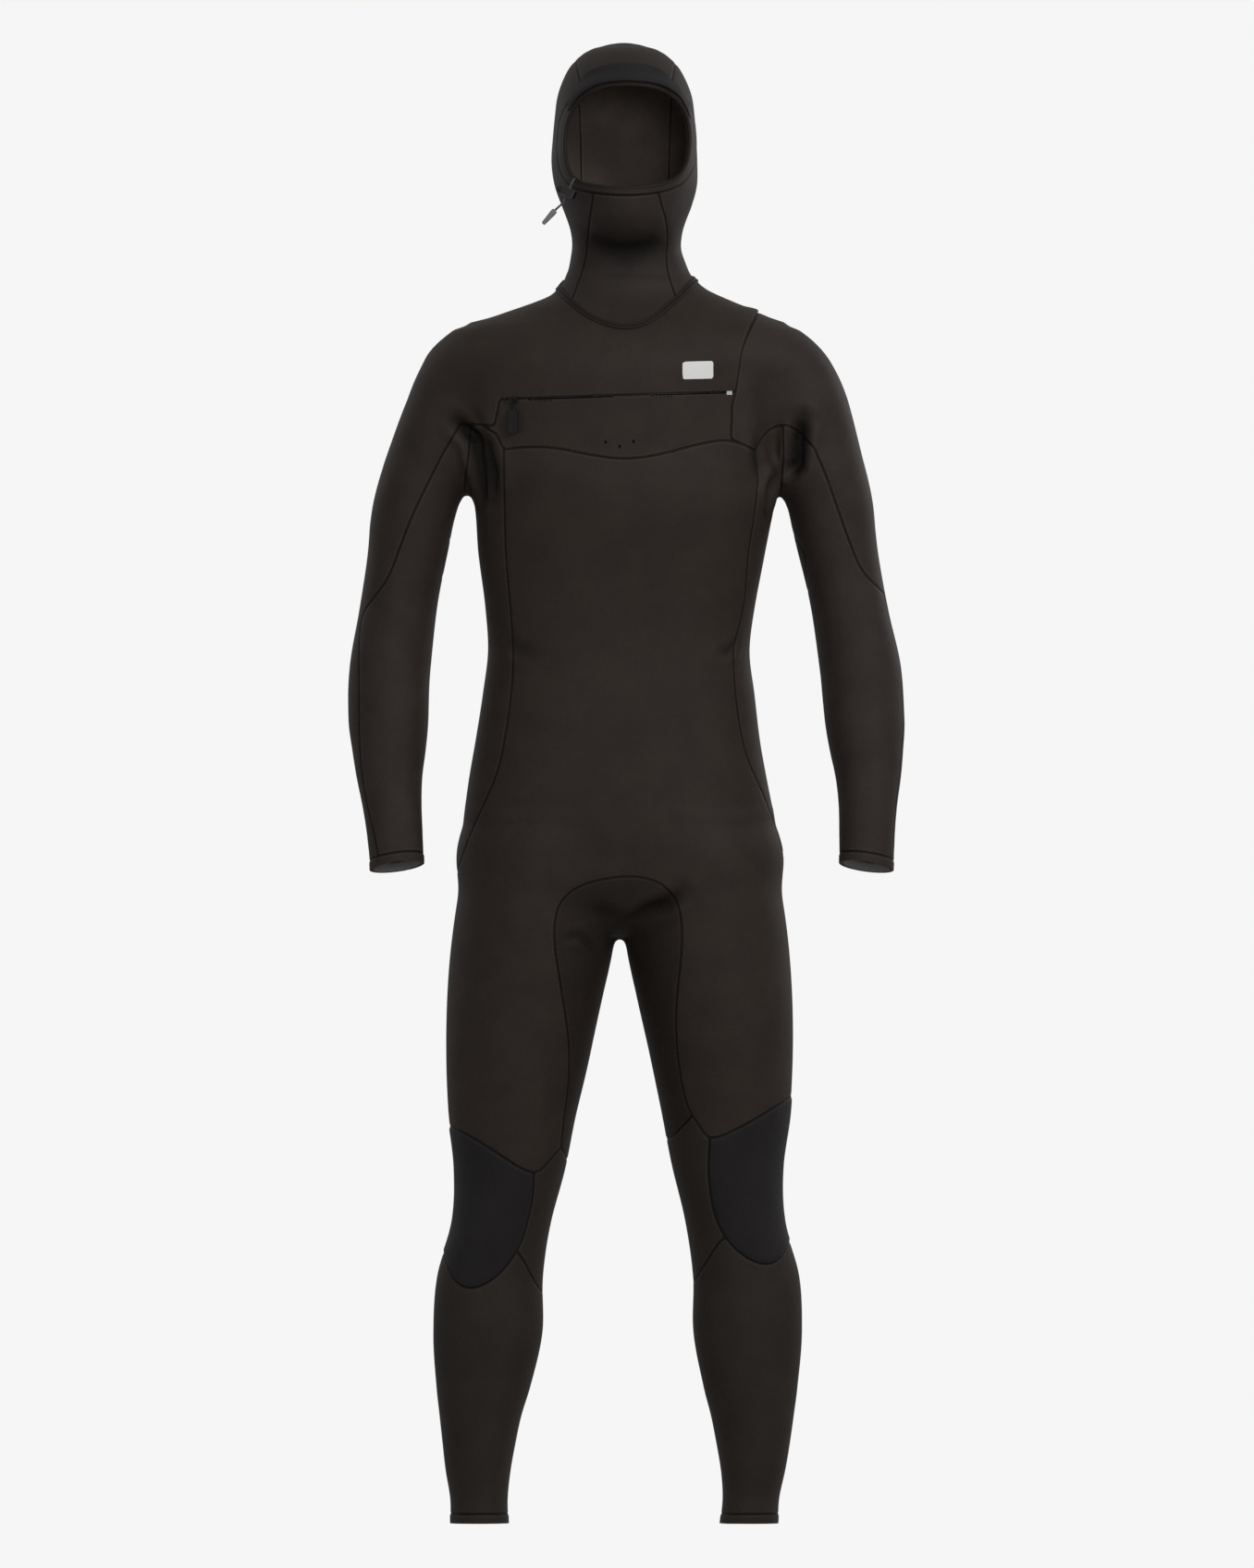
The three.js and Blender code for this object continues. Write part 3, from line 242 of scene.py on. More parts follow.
def limb(table, axes, side=0, drift=None, power=2.0, warp=None):
    """About how far each grid point is outside a stack of sections, in mm."""
    xs, ys, zs = axes
    cx, cy, a, front, back = (smooth_column(table, zs, k) for k in range(1, 6))
    if side:
        cx = side * cx + np.interp(zs, drift[:, 0], drift[:, 1])
    x = (xs[:, None, None] - cx) / a
    y = ys[None, :, None] - (cy if warp is None else 0)
    if warp is not None:
        y = y - warp - cy
    y = y / np.where(y < 0, front, back)
    rho = (np.abs(x) ** power + np.abs(y) ** power) ** (1 / power)
    gx, gy, gz = np.gradient(rho, xs, ys, zs)
    away = (rho - 1) / np.maximum(np.sqrt(gx**2 + gy**2 + gz**2), 1e-4)
    away = np.where(rho > 1, np.maximum(away, 0.3 * (rho - 1) * np.minimum(a, np.minimum(front, back))), away)
    return np.maximum(away, np.maximum(zs - table[-1, 0], table[0, 0] - zs))


def melt(a, b, k):
    """The union of two fields, rounded over k mm where they meet."""
    h = np.maximum(k - np.abs(a - b), 0) / k
    return np.minimum(a, b) - h * h * k / 4


def chest_warp(xs, zs):
    """How far the trunk's front moves in Y so that it lies on the fastener's arc."""
    cx, _, a, front, _ = (smooth_column(TRUNK, zs, k) for k in range(1, 6))
    u = np.clip(np.abs(xs[:, None] - cx) / a, 0, 0.97)
    oval = -front * (1 - u**2.2) ** (1 / 2.2)
    across = np.clip(np.abs(xs - CHEST_X), 0, 200)
    arc = CHEST_R - CHEST_FRONT - np.sqrt(CHEST_R**2 - across**2)
    band = smoothstep(1205, 1238, zs) * (1 - smoothstep(1308, 1340, zs))
    reach = 1 - smoothstep(146, 168, across)
    return (arc[:, None] - oval) * band * reach[:, None]


def body_field():
    xs = np.arange(-350, 345, GRID)
    ys = np.arange(-122, 142, GRID)
    zs = np.arange(-22, 1712, GRID)
    axes = (xs, ys, zs)
    shift = chest_warp(xs, zs)[:, None, :] * (ys < -8)[None, :, None]
    trunk = limb(TRUNK, axes, power=2.2, warp=shift)
    legs = melt(limb(LEG, axes, 1, LEG_DRIFT), limb(LEG, axes, -1, LEG_DRIFT), 4)
    field = melt(trunk, legs, 12 + 14 * smoothstep(690, 740, zs))
    at_shoulder = (24 + 12 * smoothstep(1240, 1320, zs) - 24 * smoothstep(1335, 1374, zs)
                   - 14 * smoothstep(1190, 1120, zs))
    for side in (1, -1):
        field = melt(field, limb(ARM, axes, side, ARM_DRIFT), at_shoulder)
    return axes, melt(field, limb(HOOD, axes, power=2.05), 16)


# ---------------------------------------------------------------- field to mesh
def surface(axes, field):
    """A mesh of the field's zero surface: one point per crossed cell, joined across crossed edges."""
    inside = field < 0
    shape = np.array(field.shape)
    total = np.zeros(tuple(shape - 1) + (3,))
    count = np.zeros(tuple(shape - 1))
    crossings = []
    for axis in range(3):
        lo = [slice(None)] * 3
        hi = [slice(None)] * 3
        lo[axis], hi[axis] = slice(0, -1), slice(1, None)
        a, b = field[tuple(lo)], field[tuple(hi)]
        i, j, k = np.nonzero(inside[tuple(lo)] != inside[tuple(hi)])
        t = a[i, j, k] / (a[i, j, k] - b[i, j, k])
        p = np.stack([i, j, k], 1).astype(float)
        p[:, axis] += t
        crossings.append((axis, np.stack([i, j, k], 1), inside[tuple(lo)][i, j, k]))
        u, v = (axis + 1) % 3, (axis + 2) % 3
        for du in (0, 1):
            for dv in (0, 1):
                cell = np.stack([i, j, k], 1)
                cell[:, u] -= du
                cell[:, v] -= dv
                ok = ((cell >= 0) & (cell < shape - 1)).all(1)
                c = cell[ok]
                np.add.at(total, (c[:, 0], c[:, 1], c[:, 2]), p[ok])
                np.add.at(count, (c[:, 0], c[:, 1], c[:, 2]), 1)
    used = count > 0
    number = np.full(count.shape, -1)
    number[used] = np.arange(used.sum())
    points = total[used] / count[used][:, None]
    quads = []
    for axis, at, lower_in in crossings:
        u, v = (axis + 1) % 3, (axis + 2) % 3
        ring = []
        for du, dv in ((0, 0), (1, 0), (1, 1), (0, 1)):
            cell = at.copy()
            cell[:, u] -= du
            cell[:, v] -= dv
            ring.append(number[cell[:, 0], cell[:, 1], cell[:, 2]])
        q = np.stack(ring, 1)
        q[~lower_in] = q[~lower_in][:, ::-1]
        quads.append(q)
    quads = np.concatenate(quads)
    quads = quads[(quads >= 0).all(1)]
    return points, quads


def sample(field, p):
    """The field at points given in cells, between the grid's values."""
    i = np.clip(p.astype(int), 0, np.array(field.shape) - 2)
    f = p - i
    out = 0
    for dx in (0, 1):
        for dy in (0, 1):
            for dz in (0, 1):
                w = (np.where(dx, f[:, 0], 1 - f[:, 0]) * np.where(dy, f[:, 1], 1 - f[:, 1])
                     * np.where(dz, f[:, 2], 1 - f[:, 2]))
                out = out + w * field[i[:, 0] + dx, i[:, 1] + dy, i[:, 2] + dz]
    return out


def smooth_surface(axes, field):
    points, quads = surface(axes, field)
    slopes = np.gradient(field)
    n = len(points)
    edges = np.concatenate([quads[:, [0, 1]], quads[:, [1, 2]], quads[:, [2, 3]], quads[:, [3, 0]]])
    for _ in range(4):
        mean = np.zeros((n, 3))
        times = np.zeros(n)
        for a, b in ((0, 1), (1, 0)):
            for c in range(3):
                mean[:, c] += np.bincount(edges[:, a], points[edges[:, b], c], n)
            times += np.bincount(edges[:, a], minlength=n)
        points = 0.4 * points + 0.6 * mean / times[:, None]
        g = np.stack([sample(s, points) for s in slopes], 1)
        value = sample(field, points)
        points = points - g * (value / np.maximum((g**2).sum(1), 1e-6))[:, None]
    g = np.stack([sample(s, points) for s in slopes], 1)
    normal = g / np.linalg.norm(g, axis=1)[:, None]
    low = np.array([a[0] for a in axes])
    tris = np.concatenate([quads[:, [0, 1, 2]], quads[:, [0, 2, 3]]])
    return low + points * GRID, normal, tris


# ---------------------------------------------------------------- cutting along seam lines
X, Y, Z, NX, NY, NZ, DENT, SEAM, FOLD_SHADE = range(9)  # columns of the vertex table
NO_SEAM = 9.0  # the distance to a seam, in mm, of a face that shows none


def outline_distance(p, outline):
    """Signed distance of points (x, z) to a closed outline, below 0 inside, and the way out."""
    o = np.asarray(outline, float)
    best = np.full(len(p), 1e9)
    way = np.zeros((len(p), 2))
    inside = np.zeros(len(p), bool)
    for a, b in zip(o, np.roll(o, -1, 0)):
        e = b - a
        t = np.clip(((p - a) @ e) / max(e @ e, 1e-9), 0, 1)
        off = p - (a + t[:, None] * e)
        d = np.hypot(off[:, 0], off[:, 1])
        near = d < best
        best[near] = d[near]
        way[near] = off[near]
        crosses = (a[1] > p[:, 1]) != (b[1] > p[:, 1])
        if abs(e[1]) > 1e-9:
            inside ^= crosses & (p[:, 0] < a[0] + (p[:, 1] - a[1]) * e[0] / e[1])
    sign = np.where(inside, -1.0, 1.0)
    return best * sign, way * (sign / np.maximum(best, 1e-6))[:, None]


def behind_middle(v):
    """How far points lie behind the line between front and back. It follows the forearms."""
    reach = np.interp(v[:, Z], [740, 1000], [-44, MIDDLE])
    return v[:, Y] - np.where(np.abs(v[:, X]) > 212, reach, MIDDLE)


def region_distance(v, front, back):
    """Distance along the sheet from a panel's region, given its outline in front and behind."""
    s = behind_middle(v)
    shared = 5.0 if front is not None and back is not None else 0.0
    result = np.full(len(v), 1e9)
    for outline, half in ((front, s), (back, -s)):
        if outline is None:
            continue
        d, way = outline_distance(v[:, [X, Z]], outline)
        lean = way[:, 0] * v[:, NX] + way[:, 1] * v[:, NZ]
        d = d / np.sqrt(np.clip(1 - lean**2, 0.08, 1))
        side = half / np.sqrt(np.clip(1 - v[:, NY] ** 2, 0.08, 1))
        result = np.minimum(result, np.maximum(d, side - shared))
    return result


def split(v, f, phi, snap=0.25):
    """Cuts triangles where phi crosses 0. Returns the longer vertex table and the new triangles."""
    sign = np.where(np.abs(phi) < snap, 0, np.sign(phi)).astype(int)
    s = sign[f]
    mixed = (s.min(1) < 0) & (s.max(1) > 0)
    if not mixed.any():
        return v, f
    m, ms = f[mixed], s[mixed]
    pairs = np.concatenate([m[:, [0, 1]], m[:, [1, 2]], m[:, [2, 0]]])
    pairs = np.sort(pairs[sign[pairs[:, 0]] * sign[pairs[:, 1]] < 0], 1)
    keys, where = np.unique(pairs[:, 0] * len(v) + pairs[:, 1], return_index=True)
    ends = pairs[where]
    t = phi[ends[:, 0]] / (phi[ends[:, 0]] - phi[ends[:, 1]])
    made = v[ends[:, 0]] * (1 - t)[:, None] + v[ends[:, 1]] * t[:, None]
    base = len(v)

    def middle(a, b):
        lo, hi = np.minimum(a, b), np.maximum(a, b)
        return base + np.searchsorted(keys, lo * base + hi)

    out = [f[~mixed]]
    zeros = (ms == 0).sum(1)
    for k in range(3):
        one = (zeros == 1) & (ms[:, k] == 0)
        z, p, q = m[one, k], m[one, (k + 1) % 3], m[one, (k + 2) % 3]
        e = middle(p, q)
        out += [np.stack([z, p, e], 1), np.stack([z, e, q], 1)]
        alone = (zeros == 0) & (ms[:, k] != ms[:, (k + 1) % 3]) & (ms[:, k] != ms[:, (k + 2) % 3])
        a, p, q = m[alone, k], m[alone, (k + 1) % 3], m[alone, (k + 2) % 3]
        e1, e2 = middle(a, p), middle(a, q)
        out += [np.stack([a, e1, e2], 1), np.stack([e1, p, q], 1), np.stack([e1, q, e2], 1)]
    return np.concatenate([v, made]), np.concatenate(out)


class Suit:
    """The uncut surface, and the panels taken from it one after another."""

    def __init__(self, points, normals, tris, fold):
        n = len(points)
        self.v = np.concatenate([points, normals, np.zeros((n, 1)), np.full((n, 1), 99.0), fold[:, None]], 1)
        self.rest = tris
        self.panels = {}

    def cut(self, name, distance, depth=0.9, width=3.4):
        """Takes the region where distance(vertices) is below 0, with a seam's groove at its edge."""
        for shift in (0.0, -width, width) if depth else (0.0,):
            used = np.unique(self.rest)
            phi = np.full(len(self.v), 99.0)
            phi[used] = distance(self.v[used]) + shift
            self.v, self.rest = split(self.v, self.rest, phi)
        used = np.unique(self.rest)
        phi = np.full(len(self.v), 99.0)
        phi[used] = distance(self.v[used])
        if depth:
            groove = depth * np.clip(1 - np.abs(phi) / width, 0, 1) ** 2
            self.v[used, DENT] = np.maximum(self.v[used, DENT], groove[used])
            self.v[used, SEAM] = np.minimum(self.v[used, SEAM], np.abs(phi[used]))
        mine = phi[self.rest].mean(1) < 0
        if name:
            self.panels[name] = np.concatenate([self.panels.get(name, np.zeros((0, 3), int)), self.rest[mine]])
        self.rest = self.rest[~mine]

    def finer(self, x, z, reach, step):
        """More triangles round a small feature on the front."""
        for column, centre in ((X, x), (Z, z)):
            for c in np.arange(centre - reach, centre + reach + 0.01, step):
                v = self.v
                local = ((np.abs(v[self.rest][:, :, X] - x) < reach + 6).all(1)
                         & (np.abs(v[self.rest][:, :, Z] - z) < reach + 6).all(1)
                         & (v[self.rest][:, :, Y] < 0).all(1))
                far = self.rest[~local]
                self.v, close = split(v, self.rest[local], v[:, column] - c, 0.05)
                self.rest = np.concatenate([far, close])


# ---------------------------------------------------------------- seam lines
CORNER_CUTS = 2  # how often a line's corners are cut


def soft(line):
    """The open line with its corners cut and its ends kept, the same whichever way it runs."""
    o = np.asarray(line, float)
    for _ in range(CORNER_CUTS):
        a, b = o[:-1], o[1:]
        inner = np.stack([0.75 * a + 0.25 * b, 0.25 * a + 0.75 * b], 1).reshape(-1, 2)
        o = np.concatenate([o[:1], inner[1:-1], o[-1:]])
    return o.tolist()


NECK = soft([[-120, 1436], [-82, 1424], [-77, 1414], [-63, 1399], [-43, 1383], [-18, 1373], [1, 1371],
    [21, 1375], [39, 1388], [57, 1403], [77, 1424], [83, 1431], [120, 1440]])
NECK_BACK = soft([[-120, 1436], [-82, 1426], [-50, 1418], [0, 1414], [50, 1418], [83, 1430], [120, 1440]])
FACE = [[0, 1650], [-30, 1647], [-54, 1633], [-68, 1611], [-72, 1580], [-69, 1552], [-58, 1537],
    [-30, 1531], [3, 1529], [36, 1532], [60, 1541], [71, 1560], [74, 1588], [70, 1614], [57, 1635],
    [34, 1647]]
CHIN_LEFT = soft([[31, 1545], [39, 1515], [48, 1484], [45, 1440], [57, 1405], [62, 1385]])
CHIN_RIGHT = soft([[-37, 1545], [-38, 1525], [-44, 1482], [-47, 1445], [-63, 1403], [-68, 1385]])
CROWN_FRONT = soft([[-64, 1720], [-60, 1680], [-50, 1640], [-44, 1600], [44, 1600], [50, 1640], [57, 1680],
    [60, 1720]])
CROWN_BACK = [[-64, 1720], [-60, 1680], [-56, 1600], [-54, 1500], [-50, 1400], [46, 1400], [50, 1500],
    [53, 1600], [57, 1680], [60, 1720]]
FLAP = soft([[157, 1406], [151, 1389], [138, 1363], [130, 1339], [125, 1297]])
WAVE = soft([[-141, 1231], [-114, 1234], [-82, 1233], [-40, 1224], [-1, 1219], [40, 1225], [82, 1237],
    [119, 1243], [148, 1230]])
ARC_RIGHT = [[-141, 1231], [-149, 1248], [-159, 1257], [-173, 1260], [-191, 1259]]
ARC_LEFT = soft([[148, 1230], [155, 1245], [168, 1257], [183, 1260], [196, 1253]])
SLEEVE_RIGHT = soft([[-210, 1227], [-229, 1190], [-247, 1153], [-261, 1116], [-273, 1084], [-291, 1060],
    [-304, 1042], [-307, 1015], [-307, 941], [-306, 877], [-298, 824], [-288, 787], [-280, 735]])
SLEEVE_LEFT = soft([[215, 1233], [229, 1201], [241, 1166], [255, 1127], [268, 1095], [284, 1077],
    [305, 1058], [330, 1045]])
SLEEVE_BACK = [[206, 1245], [224, 1210], [244, 1150], [260, 1090], [272, 1030], [279, 960], [279, 880],
    [275, 800], [270, 720]]
SIDE_RIGHT = soft([[-140, 1174], [-139, 1111], [-133, 1047], [-130, 1005], [-131, 962], [-138, 909],
    [-146, 867], [-159, 835], [-176, 798], [-188, 766], [-199, 735]])
SIDE_LEFT = soft([[151, 1196], [147, 1158], [139, 1111], [137, 1068], [130, 1031], [122, 1005], [124, 962],
    [130, 909], [140, 872], [153, 845], [168, 808], [177, 777], [190, 735]])
GUSSET = soft([[-75, 432], [-72, 464], [-66, 506], [-65, 548], [-71, 591], [-77, 628], [-83, 665],
    [-82, 697], [-74, 716], [-56, 731], [-29, 739], [3, 743], [29, 739], [47, 729], [60, 710], [64, 681],
    [62, 644], [57, 601], [56, 570], [59, 527], [67, 485], [75, 468]])
GUSSET_BACK = [[-60, 432], [-52, 500], [-50, 560], [-52, 620], [-50, 690], [-36, 730], [-7, 748], [22, 730],
    [36, 690], [38, 620], [36, 560], [38, 500], [46, 450], [0, 420]]
THIGH_RIGHT = soft([[-240, 470], [-212, 459], [-188, 450], [-157, 431], [-106, 398], [-91, 413]])
THIGH_LEFT = soft([[230, 512], [200, 497], [162, 473], [131, 455], [95, 439], [84, 455]])
BACK_SIDE = soft([[150, 1228], [146, 1174], [140, 1111], [130, 1047], [124, 1010]])
HIP_BACK = soft([[122, 1005], [124, 962], [130, 909], [140, 860], [152, 815], [168, 775], [190, 735]])
PAD_RIGHT = soft([[-106, 398], [-107, 375], [-113, 347], [-122, 317], [-146, 284], [-176, 268], [-196, 276],
    [-205, 294], [-214, 322], [-250, 340]])
PAD_LEFT = soft([[95, 439], [93, 404], [98, 362], [109, 333], [128, 311], [151, 298], [168, 298],
    [180, 309], [191, 331], [240, 350]])
PATCH = [[64, 1331], [99, 1332], [99, 1312], [64, 1311]]
BROW = [[-66, 1611], [-64, 1630], [-56, 1648], [-44, 1662], [-25, 1671], [0, 1674], [25, 1671], [44, 1662],
    [57, 1646], [68, 1626], [74, 1606], [60, 1600], [0, 1630], [-60, 1600]]
DRAINS = [[-24, 1239], [-8, 1234], [8, 1240]]
WRIST_HEM, ANKLE_HEM = 10.0, 11.0
BETWEEN = -7  # the X midway between the ankles


def rounded(outline):
    """The outline with its corners cut, as a sewn line runs."""
    o = np.asarray(outline, float)
    for _ in range(CORNER_CUTS):
        a, b = o, np.roll(o, -1, 0)
        o = np.stack([0.78 * a + 0.22 * b, 0.22 * a + 0.78 * b], 1).reshape(-1, 2)
    return o


def sleeve_back(s):
    top = [[s * 118, 1460], [s * 122, 1396], [s * 138, 1340], [s * 165, 1290], [s * 190, 1262]]
    down = soft([[s * x + (5 if z < 1000 else -5), z] for x, z in SLEEVE_BACK])
    return top + down + [[s * 270, 690], [s * 450, 690], [s * 450, 1460]]


def wrist_distance(v, side, above):
    """How far points lie above a plane square to the forearm, above mm up from the cuff's end."""
    place = np.array([side * 269 + 6, -42, 754])
    way = np.array([side * 0.14, 0.24, 0.96])
    height = (v[:, :3] - place) @ way - above
    off = np.maximum(np.abs(v[:, X] - place[0]) - 50, 640 - v[:, Z])
    return np.maximum(height, off)


def zip_line(x):
    return ZIP_Z + (x - CHEST_X) * math.tan(ZIP_TILT)


def cut_panels(suit):
    def lines(front, back=None, soften=False):
        make = rounded if soften else np.asarray
        f = None if front is None else make(front)
        b = None if back is None else make(back)
        return lambda v: region_distance(v, f, b)

    for side, name in ((1, "left"), (-1, "right")):
        suit.cut(None, lambda v: wrist_distance(v, side, 0), 0)
        suit.cut("wrist_hem_" + name, lambda v: wrist_distance(v, side, WRIST_HEM), 0.8, 2.4)
    suit.cut(None, lambda v: v[:, Z], 0)
    for side, name in ((1, "left"), (-1, "right")):
        suit.cut("ankle_hem_" + name,
                 lambda v: np.maximum(v[:, Z] - ANKLE_HEM, -side * (v[:, X] - BETWEEN)), 0.8, 2.4)
    above = lambda line: line + [[200, 1800], [-200, 1800]]
    # the hood is parted from the suit, cut, and the suit is taken up again
    neck = lines(above(NECK), above(NECK_BACK))
    suit.cut("hood", neck, 1.2, 5.0)
    body_rest = suit.rest
    suit.rest = suit.panels.pop("hood")
    suit.neck_line = even_line(suit.v, rim_loops(suit.rest)[0])
    face = lambda grow: lambda v: np.maximum(outline_distance(v[:, [X, Z]], rounded(FACE))[0] - grow, v[:, Y] + 5)
    suit.cut(None, face(0), 0)
    suit.cut("face_hem", face(8), 1.4, 2.6)
    suit.face_line = even_line(suit.v, rim_loops(suit.panels["face_hem"])[1])
    suit.cut("hood_throat_panel", lines(CHIN_LEFT + [[62, 1300], [-68, 1300]] + CHIN_RIGHT[::-1], soften=True))
    suit.cut("hood_crown_panel", lines(CROWN_FRONT, CROWN_BACK, soften=True))
    suit.cut("hood_side_panel_left", lambda v: -v[:, X], 0)
    suit.panels["hood_side_panel_right"] = suit.rest
    suit.rest = body_rest

    half = ZIP_SLOT / 2
    ends = [CHEST_X - ZIP_HALF, CHEST_X + ZIP_HALF]
    corners = ((ends[0], -half), (ends[0], half), (ends[1], half), (ends[1], -half))
    slot = [[x, zip_line(x) + h] for x, h in corners]
    suit.cut(None, lines(slot), 0)
    for x, z in DRAINS:
        suit.finer(x, z, 5, 1.0)
        hole = [[x + 1.3 * math.cos(t), z + 2.1 * math.sin(t)] for t in np.linspace(0, 2 * math.pi, 13)[:-1]]
        suit.cut(None, lines(hole), 0)
    suit.cut("chest_flap_and_right_sleeve_panel",
             lines([[-180, 1460], [180, 1460]] + FLAP + [[-145, 1288.4], [-149, 1270], [-152, 1258]]
                   + ARC_RIGHT[3:] + SLEEVE_RIGHT + [[-280, 690], [-450, 690], [-450, 1460]], sleeve_back(-1)))
    suit.cut("left_sleeve_panel",
             lines([[500, 1460], [160, 1460]] + FLAP + [[121, 1281], [120, 1243]] + ARC_LEFT + SLEEVE_LEFT
                   + [[500, 1045]], sleeve_back(1)))
    suit.cut("chest_lower_panel",
             lines([[-145, 1288.4], [125, 1297], [121, 1281]] + WAVE[:-1][::-1]
                   + [[-149, 1248], [-170, 1262], [-170, 1288]]))
    suit.cut("front_body_panel",
             lines([[-141, 1231], [-141, 1262], [148, 1262], [148, 1230]] + SIDE_LEFT + [[230, 725]] + THIGH_LEFT
                   + GUSSET[::-1] + THIGH_RIGHT[::-1] + [[-240, 725]] + SIDE_RIGHT[::-1]))
    suit.cut("crotch_gusset", lines(GUSSET + [[53, 444], [0, 420], [-63, 408]], GUSSET_BACK))
    back_side = lambda s: [[s * x + (2 if s > 0 else 0) - 3, z] for x, z in BACK_SIDE]
    suit.cut("back_panel", lines(None, [[-160, 1460], [160, 1460], [190, 1262]] + back_side(1)
                                 + [[70, 985], [0, 972], [-80, 985]] + back_side(-1)[::-1] + [[-190, 1262]],
                                 soften=True))
    hip_back = lambda s: [[s * x - (2 if s > 0 else 8), z] for x, z in HIP_BACK]
    suit.cut("seat_panel", lines(None, [[0, 1000]] + hip_back(1) + [[260, 725], [260, 410], [120, 392], [0, 410],
                                 [-120, 392], [-260, 410], [-260, 725]] + hip_back(-1)[::-1], soften=True))
    inner_sleeve = lambda top, side, elbow: top + [[side * x, z] for x, z in elbow + [
        [222, 690], [450, 690], [450, 1290]]]
    for name, side, front, back, elbow in (
            ("left", 1, [[178, 1290], [180, 1227], [178, 1196], [175, 1164]],
             [[186, 1290], [184, 1227], [180, 1196], [178, 1164]], [[205, 1110], [212, 1000]]),
            ("right", -1, [[-176, 1290], [-181, 1227], [-185, 1196], [-187, 1164]],
             [[-190, 1290], [-190, 1227], [-188, 1196], [-187, 1164]], [[210, 1110], [214, 1000]])):
        suit.cut("inner_sleeve_panel_" + name,
                 lines(inner_sleeve(front, side, elbow), inner_sleeve(back, side, elbow)), 0.5)
    for s, name in ((1, "left"), (-1, "right")):
        block = [[s * 60, 1300], [s * 220, 1300], [s * 260, 720], [s * 60, 720]]
        suit.cut("side_panel_" + name, lines(block, block))
    suit.cut("knee_pad_right", lines([[-240, 500], [-106, 500]] + PAD_RIGHT))
    suit.cut("knee_pad_left", lines([[240, 540], [95, 540]] + PAD_LEFT))
    inner_right = soft([[-150, 330], [-122, 312], [-104, 274], [-86, 252], [-40, 240]])
    inner_left = soft([[150, 340], [110, 330], [94, 305], [68, 262], [30, 250]])
    suit.cut("inner_knee_panel_right", lines([[-75, 470], [-150, 470]] + inner_right
             + [[-10, 410], [-63, 409], [-75, 432]]))
    suit.cut("inner_knee_panel_left", lines([[75, 500], [150, 500]] + inner_left
             + [[0, 425], [53, 445], [75, 468]]))
    suit.cut("calf_panel_left", lambda v: -v[:, X], 0)
    suit.panels["calf_panel_right"] = suit.rest


# ---------------------------------------------------------------- folds
# Each fold: its line, how deep, how wide. The lines are laid on the surface before use.
# A fold has a low ridge on each side, and a hollow wider than HOLLOW has none.
HOLLOW = 14
DARKEST = 7  # a fold this deep, in mm, gets the darkest painted shade
# Besides the dent, each fold paints shade into the colour by its depth, up to DARKEST.
FOLDS = [
    ([[-196, -44, 1264], [-187, -60, 1240], [-180, -52, 1208], [-174, -40, 1170]], 15.0, 8),
    ([[-182, -66, 1256], [-168, -72, 1234], [-160, -66, 1206], [-156, -60, 1176]], 9.0, 11),
    ([[-152, -80, 1262], [-146, -84, 1234]], 3.0, 8),
    ([[202, -40, 1266], [193, -58, 1242], [184, -52, 1212], [178, -44, 1182], [172, -40, 1158]], 16.0, 9),
    ([[176, -70, 1238], [166, -72, 1222], [164, -62, 1196]], 4.5, 8),
    ([[-71, -84, 673], [-48, -80, 671], [-30, -72, 663], [-17, -60, 654]], 3.0, 5),
    ([[64, -82, 726], [44, -84, 709], [25, -82, 699], [0, -66, 679]], 6.5, 8),
    ([[-6, -72, 682], [-28, -82, 692], [-40, -84, 704]], 2.5, 9),
    ([[146, -62, 1014], [132, -66, 1000], [116, -74, 996]], 3.0, 6),
    ([[-142, -60, 1010], [-126, -68, 1002], [-108, -76, 998]], 1.8, 8),
    # under the chin: a wide shallow hollow, there mainly to paint the chin's shadow into the colour
    ([[-52, -60, 1463], [-30, -60, 1453], [0, -60, 1449], [30, -60, 1453], [52, -60, 1463]], 8.0, 19),
    # a wide shallow hollow under the right arm, there mainly to paint the armpit's shade into the colour
    ([[-192, -50, 1258], [-178, -66, 1230], [-168, -62, 1196], [-166, -50, 1164]], 5.0, 18),
]


def fold_depth(p):
    depth = np.zeros(len(p))
    for line, deep, wide in FOLDS:
        line = np.array([p[np.argmin(((p - q) ** 2).sum(1))] for q in np.asarray(line, float)])
        near_line = (p > line.min(0) - 5 * wide).all(1) & (p < line.max(0) + 5 * wide).all(1)
        q = p[near_line]
        best = np.full(len(q), 1e9)
        along = np.zeros(len(q))
        n = len(line) - 1
        for i in range(n):
            e = line[i + 1] - line[i]
            t = np.clip(((q - line[i]) @ e) / max(e @ e, 1e-6), 0, 1)
            d = np.linalg.norm(q - (line[i] + t[:, None] * e), axis=1)
            near = d < best
            best[near] = d[near]
            along[near] = (i + t[near]) / n
        fade = np.sqrt(np.clip(np.sin(np.pi * np.clip(along, 0.02, 0.98)), 0, 1))
        u = best / wide
        ridge = 0.42 if wide < HOLLOW else 0.0
        depth[near_line] += deep * fade * (np.exp(-u**2) - ridge * np.exp(-((u - 1.9) ** 2) / 0.7))
    return depth


def waves(p):
    """Slow unevenness of a worn sheet, from a few crossed sines."""
    x, y, z = p.T
    slow = (np.sin(x / 31 + 1.3 * np.sin(z / 83)) * np.sin(z / 47 + 0.7 * np.sin(x / 59) + y / 40)
            + 0.6 * np.sin(z / 23 + x / 71 + 1.7) * np.sin(y / 29 + z / 97))
    return 0.45 * slow


